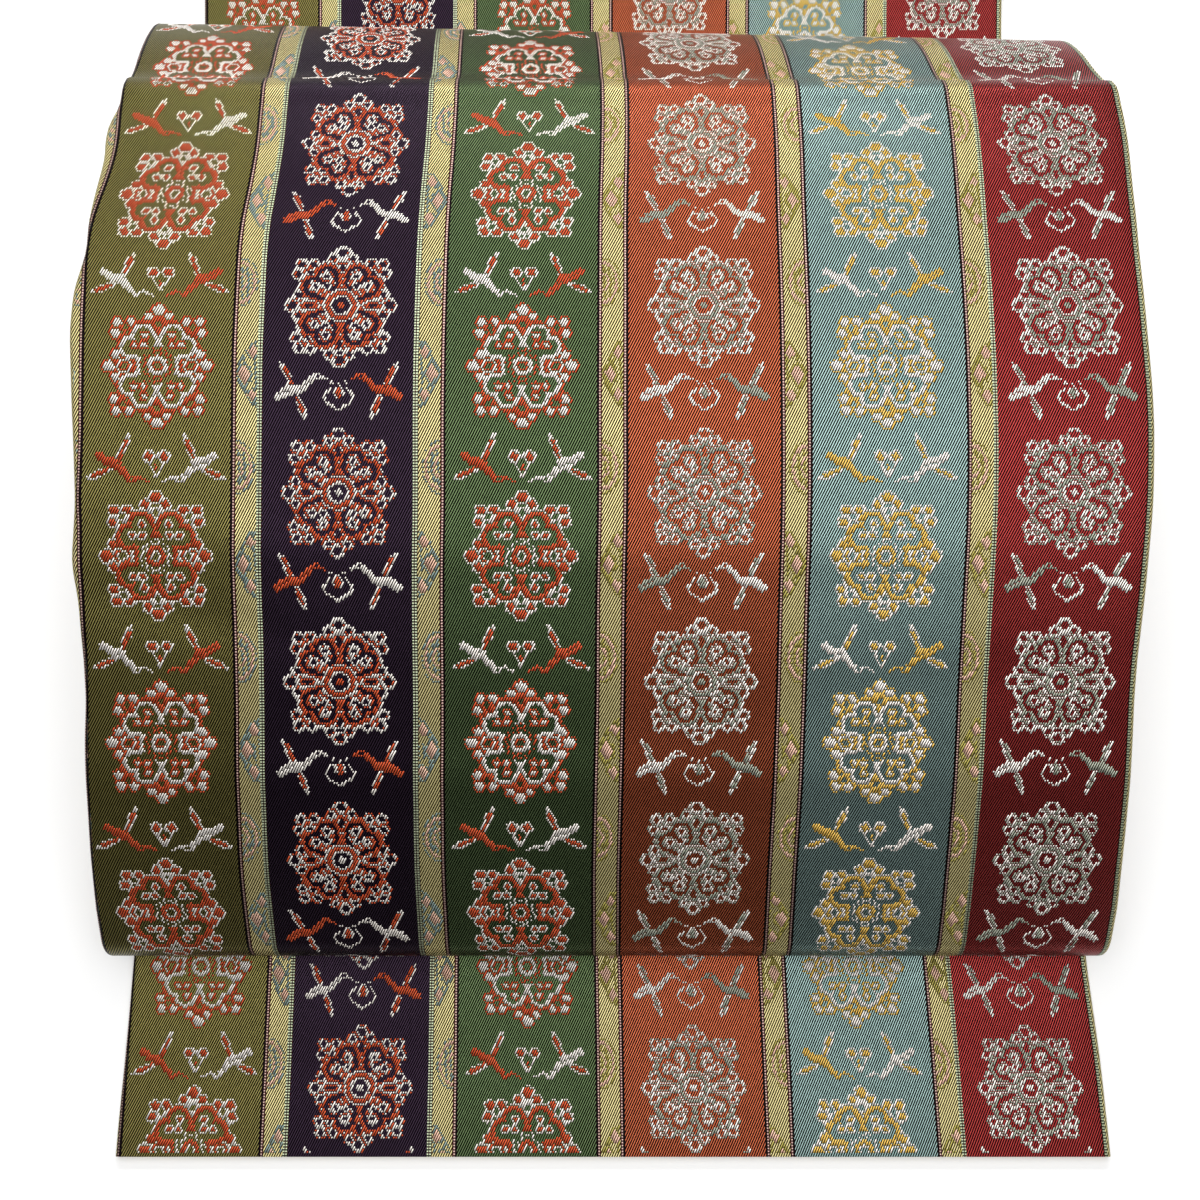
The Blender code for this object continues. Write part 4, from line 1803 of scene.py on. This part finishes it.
@dataclass
class ThreadMaker:
    """Geometry Nodes that lay one silk's floats out flat. Metres."""

    width: float = 0.64 * MM
    rise: float = 0.1 * MM
    sink: float = 0.05 * MM
    end_inset: float = 0.2 * MM
    end_gap: float = 0.1 * MM

    def blank(self) -> bpy.types.Object:
        """One thread of unit size: a closed ridge of eight triangles, its ends marked."""
        corners = [
            (-0.5, -0.5, 0.0), (0.5, -0.5, 0.0), (0.5, 0.5, 0.0), (-0.5, 0.5, 0.0),
            (0.0, -0.5, 1.0), (0.0, 0.5, 1.0),
        ]
        faces = [(0, 3, 2, 1), (0, 1, 4), (2, 3, 5), (1, 2, 5, 4), (3, 0, 4, 5)]
        mesh = bpy.data.meshes.new("thread_blank")
        mesh.from_pydata(corners, [], faces)
        marks = mesh.attributes.new("ridge_side", "FLOAT", "POINT")
        marks.data.foreach_set("value", [0.0, 0.0, 0.0, 0.0, -1.0, 1.0])
        return bpy.data.objects.new("thread_blank", mesh)

    def tree(self) -> bpy.types.NodeTree:
        """The node tree, with named inputs for the thread's sizes."""
        tree = bpy.data.node_groups.new("lay_threads", "GeometryNodeTree")
        for name, kind, way in (
            ("Geometry", "Geometry", "INPUT"),
            ("Thread Blank", "Object", "INPUT"),
            ("Silk", "Material", "INPUT"),
            ("Width", "Float", "INPUT"),
            ("Rise", "Float", "INPUT"),
            ("End Inset", "Float", "INPUT"),
            ("Twill Turn", "Float", "INPUT"),
            ("Geometry", "Geometry", "OUTPUT"),
        ):
            tree.interface.new_socket(name=name, in_out=way, socket_type="NodeSocket" + kind)
        add = partial(add_node, tree)
        given = add("NodeGroupInput").outputs
        number = {"data_type": "FLOAT"}
        length = add("GeometryNodeInputNamedAttribute", number, {"Name": "length"}).outputs[0]
        side = add("GeometryNodeInputNamedAttribute", number, {"Name": "ridge_side"}).outputs[0]
        blank = add("GeometryNodeObjectInfo", None, {"Object": given["Thread Blank"]})
        sizes = {0: given["Width"], 1: length, 2: given["Rise"]}
        laid = add(
            "GeometryNodeInstanceOnPoints",
            None,
            {
                "Points": given["Geometry"],
                "Instance": blank.outputs["Geometry"],
                "Rotation": add("ShaderNodeCombineXYZ", None, {2: given["Twill Turn"]}).outputs[0],
                "Scale": add("ShaderNodeCombineXYZ", None, sizes).outputs[0],
            },
        )
        real = add("GeometryNodeRealizeInstances", None, {0: laid.outputs[0]})
        times = {"operation": "MULTIPLY"}
        inset = add("ShaderNodeMath", times, {0: side, 1: given["End Inset"]})
        back = add("ShaderNodeMath", times, {0: inset.outputs[0], 1: -1.0})
        along = add("ShaderNodeCombineXYZ", None, {1: back.outputs[0]})
        turned = add(
            "ShaderNodeVectorRotate",
            {"rotation_type": "Z_AXIS"},
            {"Vector": along.outputs[0], "Angle": given["Twill Turn"]},
        )
        ends = {0: real.outputs[0], "Offset": turned.outputs[0]}
        eased = add("GeometryNodeSetPosition", None, ends)
        silk = {0: eased.outputs[0], "Material": given["Silk"]}
        dressed = add("GeometryNodeSetMaterial", None, silk)
        add("NodeGroupOutput", None, {0: dressed.outputs[0]})
        return tree

    def lay(self, name: str, floats: Floats, silk: bpy.types.Material, stretch: Stretch,
            tree: bpy.types.NodeTree, blank: bpy.types.Object) -> bpy.types.Object:
        """One silk's floats, laid flat by the nodes and carried onto the cloth.

        Args:
            name: the new piece's name.
            floats: where they lie.
            silk: their material.
            stretch: the cloth that they lie on.
            tree: the node tree.
            blank: the thread of unit size.

        Returns:
            The piece, a plain mesh.
        """
        places = np.zeros((len(floats.across), 3))
        places[:, 0] = floats.across * MM
        places[:, 1] = floats.along * MM
        lengths = floats.length * MM / math.sin(TWILL_ANGLE) - self.end_gap
        seed = bpy.data.meshes.new(name + "_places")
        seed.vertices.add(len(places))
        seed.vertices.foreach_set("co", places.astype(np.float32).reshape(-1))
        reach = seed.attributes.new("length", "FLOAT", "POINT")
        reach.data.foreach_set("value", lengths.astype(np.float32))
        laid = put_in_scene(name + "_laid", seed)
        nodes = laid.modifiers.new("threads", "NODES")
        nodes.node_group = tree
        sizes = {
            "Thread Blank": blank,
            "Silk": silk,
            "Width": self.width,
            "Rise": self.rise + self.sink,
            "End Inset": self.end_inset,
            "Twill Turn": TWILL_ANGLE - math.pi / 2,
        }
        for item in tree.interface.items_tree:
            if item.in_out == "INPUT" and item.name in sizes:
                nodes[item.identifier] = sizes[item.name]
        graph = bpy.context.evaluated_depsgraph_get()
        mesh = bpy.data.meshes.new_from_object(laid.evaluated_get(graph))
        bpy.data.objects.remove(laid)
        mesh.name = name
        self.drape(mesh, stretch)
        return put_in_scene(name, mesh)

    def drape(self, mesh: bpy.types.Mesh, stretch: Stretch) -> None:
        """Carry a flat mesh onto the cloth, and keep its flat places as UV maps.

        Args:
            mesh: the threads.
            stretch: the cloth.
        """
        flat = np.empty(len(mesh.vertices) * 3, np.float32)
        mesh.vertices.foreach_get("co", flat)
        flat = flat.reshape(-1, 3).astype(np.float64)
        corners = np.empty(len(mesh.loops), np.int32)
        mesh.loops.foreach_get("vertex_index", corners)
        places = flat[corners, :2]
        add_map(mesh, CLOTH_MAP, places)
        add_map(mesh, BAKE_MAP, stretch.laid_flat(places))
        flat[:, 2] -= self.sink
        draped = stretch.on_cloth(flat)
        mesh.vertices.foreach_set("co", draped.astype(np.float32).reshape(-1))
        for name in ("length", "ridge_side"):
            if name in mesh.attributes:
                mesh.attributes.remove(mesh.attributes[name])
        mesh.update()
        mesh.shade_smooth()


# ---------------------------------------------------------------- the stretches


def log_triangles(piece: bpy.types.Object) -> None:
    """Log a finished piece."""
    triangles = sum(len(polygon.vertices) - 2 for polygon in piece.data.polygons)
    log.info("%s: %d triangles", piece.name, triangles)


class Workshop:
    """What the stretches share: the band, its place, its materials and the thread maker."""

    def __init__(self) -> None:
        """Make them once."""
        self.band = Band()
        self.anchor = Anchor.of_tail()
        self.ground = WovenGround().material()
        self.silks = {finish.silk: finish.material() for finish in SILKS}
        self.maker = ThreadMaker()
        self.tree = self.maker.tree()
        self.blank = self.maker.blank()

    def threads(self, stretch: Stretch, prefix: str, start: float,
                end: float) -> list[bpy.types.Object]:
        """The figure threads of a stretch, one piece for each silk.

        Args:
            stretch: the cloth.
            prefix: how the pieces' names start.
            start: where the figures start, along the band.
            end: where they end.

        Returns:
            The pieces.
        """
        floats = find_floats(start, end)
        made = []
        for silk in Silk:
            own = floats.silk == silk
            if not own.any():
                continue
            some = Floats(*(values[own] for values in floats))
            name = f"{prefix}_{silk.name.lower()}_threads"
            piece = self.maker.lay(name, some, self.silks[silk], stretch, self.tree, self.blank)
            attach(piece, ROOT)
            log_triangles(piece)
            made.append(piece)
        return made


TAIL_CREASES = (
    Crease(-158.0, 22.0, -20.0, 30.0, 9.0, -0.25),
    Crease(10.0, 60.0, 158.0, 44.0, 10.0, 0.3),
)
DRUM_CREASES = (
    Crease(-170.0, 84.0, 170.0, 82.0, 8.0, 0.55),
    Crease(-170.0, 151.0, 170.0, 150.0, 9.0, 0.4),
    Crease(-160.0, 168.0, -96.0, 150.0, 7.0, 0.45),
    Crease(-160.0, 140.0, -84.0, 122.0, 7.0, -0.45),
    Crease(-158.0, 216.0, -60.0, 203.0, 9.0, 0.35),
    Crease(158.0, 206.0, 76.0, 190.0, 10.0, -0.3),
    Crease(158.0, 118.0, 40.0, 104.0, 9.0, -0.35),
    Crease(-60.0, 52.0, 70.0, 47.0, 8.0, -0.3),
    Crease(-158.0, 268.0, -70.0, 256.0, 8.0, -0.4),
    Crease(158.0, 276.0, 92.0, 262.0, 8.0, 0.35),
)
STRAP_CREASES = (
    Crease(-158.0, 92.0, 60.0, 104.0, 12.0, 0.4),
    Crease(158.0, 208.0, -40.0, 226.0, 14.0, 0.45),
    Crease(-158.0, 322.0, 120.0, 338.0, 12.0, 0.4),
    Crease(150.0, 408.0, 10.0, 396.0, 10.0, 0.35),
)


@dataclass
class ClothPiece:
    """A stretch of the band as a piece of the scene."""

    shop: Workshop
    name: str
    node: str
    slot: str
    held: str
    rests_on: str
    creases: tuple[Crease, ...] = ()
    figures: tuple[float, float] | None = None  # where they start and end, along the stretch

    def build(self) -> None:
        band = self.shop.band
        stretch = Stretch(self.name, band, self.shop.anchor, self.creases)
        piece_name = self.name + "_cloth"
        shell = stretch.shell(piece_name)
        shell.data.materials.append(self.shop.ground)
        threads = []
        if self.figures:
            ends = [band.start(self.name) + end for end in self.figures]
            threads = self.shop.threads(stretch, piece_name, *ends)
        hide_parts(self.node)
        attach(shell, ROOT)
        band.length(self.name) * MM
        log_triangles(shell)


# ---------------------------------------------------------------- the studio


class Panel(NamedTuple):
    """A soft light: a wide panel that faces down. Metres and watts."""

    name: str
    back: float
    depth: float
    watts: float


@dataclass
class Studio:
    """The floor, the lights and the camera."""

    floor_side: float = 9.0
    panels: tuple[Panel, ...] = (
        Panel("front_light", -0.4, 0.6, 13.4),
        Panel("high_light", 0.5, 1.2, 18.0),
        Panel("back_light", 2.0, 0.6, 65.0),
    )
    panel_width: float = 2.0
    panel_height: float = 1.3
    air: float = 0.03  # the light from all round
    lens: float = 33.93
    sensor: float = 36.0
    nearest_seen: float = 0.01
    camera_side: float = -5.2  # millimetres from the band's zero, to the right
    camera_back: float = 91.7
    camera_height: float = 389.9
    camera_tilt: float = 12.9  # degrees back from straight down

    def floor(self) -> None:
        """Lay a plain pale floor."""
        half = self.floor_side / 2
        corners = [(-half, -half, 0.0), (half, -half, 0.0), (half, half, 0.0), (-half, half, 0.0)]
        mesh = bpy.data.meshes.new("studio_floor")
        mesh.from_pydata(corners, [], [(0, 1, 2, 3)])
        mesh.materials.append(StudioFloor().material())
        put_in_scene("studio_floor", mesh)

    def lights(self) -> None:
        """Hang the panels over the drum and behind it, with a little light from all round."""
        for panel in self.panels:
            data = bpy.data.lights.new(panel.name, "AREA")
            data.shape = "RECTANGLE"
            data.size = self.panel_width
            data.size_y = panel.depth
            data.energy = panel.watts
            put_in_scene(panel.name, data).location = (0.0, panel.back, self.panel_height)
        world = bpy.data.worlds.new("studio_air")
        world.use_nodes = True
        shade = world.node_tree.nodes["Background"]
        shade.inputs["Color"].default_value = (1.0, 1.0, 1.0, 1.0)
        shade.inputs["Strength"].default_value = self.air
        bpy.context.scene.world = world
        bpy.context.scene.view_settings.view_transform = "Standard"

    def camera(self, anchor: Anchor) -> None:
        """Set the camera over the drum, looking down and a little back.

        Args:
            anchor: where the band's zero lies.
        """
        data = bpy.data.cameras.new("camera")
        data.lens = self.lens
        data.sensor_width = self.sensor
        data.clip_start = self.nearest_seen
        made = put_in_scene("camera", data)
        place = np.array((self.camera_side, self.camera_back, self.camera_height)) * MM
        made.location = place + (anchor.x, anchor.y, 0.0)
        made.rotation_euler = (math.radians(self.camera_tilt), 0.0, 0.0)
        bpy.context.scene.camera = made


def main() -> None:
    """Build the studio, the cloth stretches and their figures, in order."""
    logging.basicConfig(level=logging.INFO, format="%(name)s: %(message)s")
    shop = Workshop()
    studio = Studio()
    studio.camera(shop.anchor)
    studio.lights()
    studio.floor()
    for piece in (
        ClothPiece(shop, "tail", "tail_stretch", "woven_band", "laid", "studio_floor",
                   TAIL_CREASES, (1.2, 72.0)),
        ClothPiece(shop, "return", "return_stretch", "woven_band", "folded", "tail_cloth"),
        ClothPiece(shop, "drum", "drum_stretch", "woven_band", "folded", "return_cloth",
                   DRUM_CREASES, (7.0, 403.0)),
        ClothPiece(shop, "strap", "strap_stretch", "woven_band", "laid", "stack_cloth",
                   STRAP_CREASES, (1.0, 482.0)),
        ClothPiece(shop, "stack", "folded_remainder", "folded_band", "folded", "studio_floor"),
    ):
        piece.build()


if __name__ == "__main__":
    main()
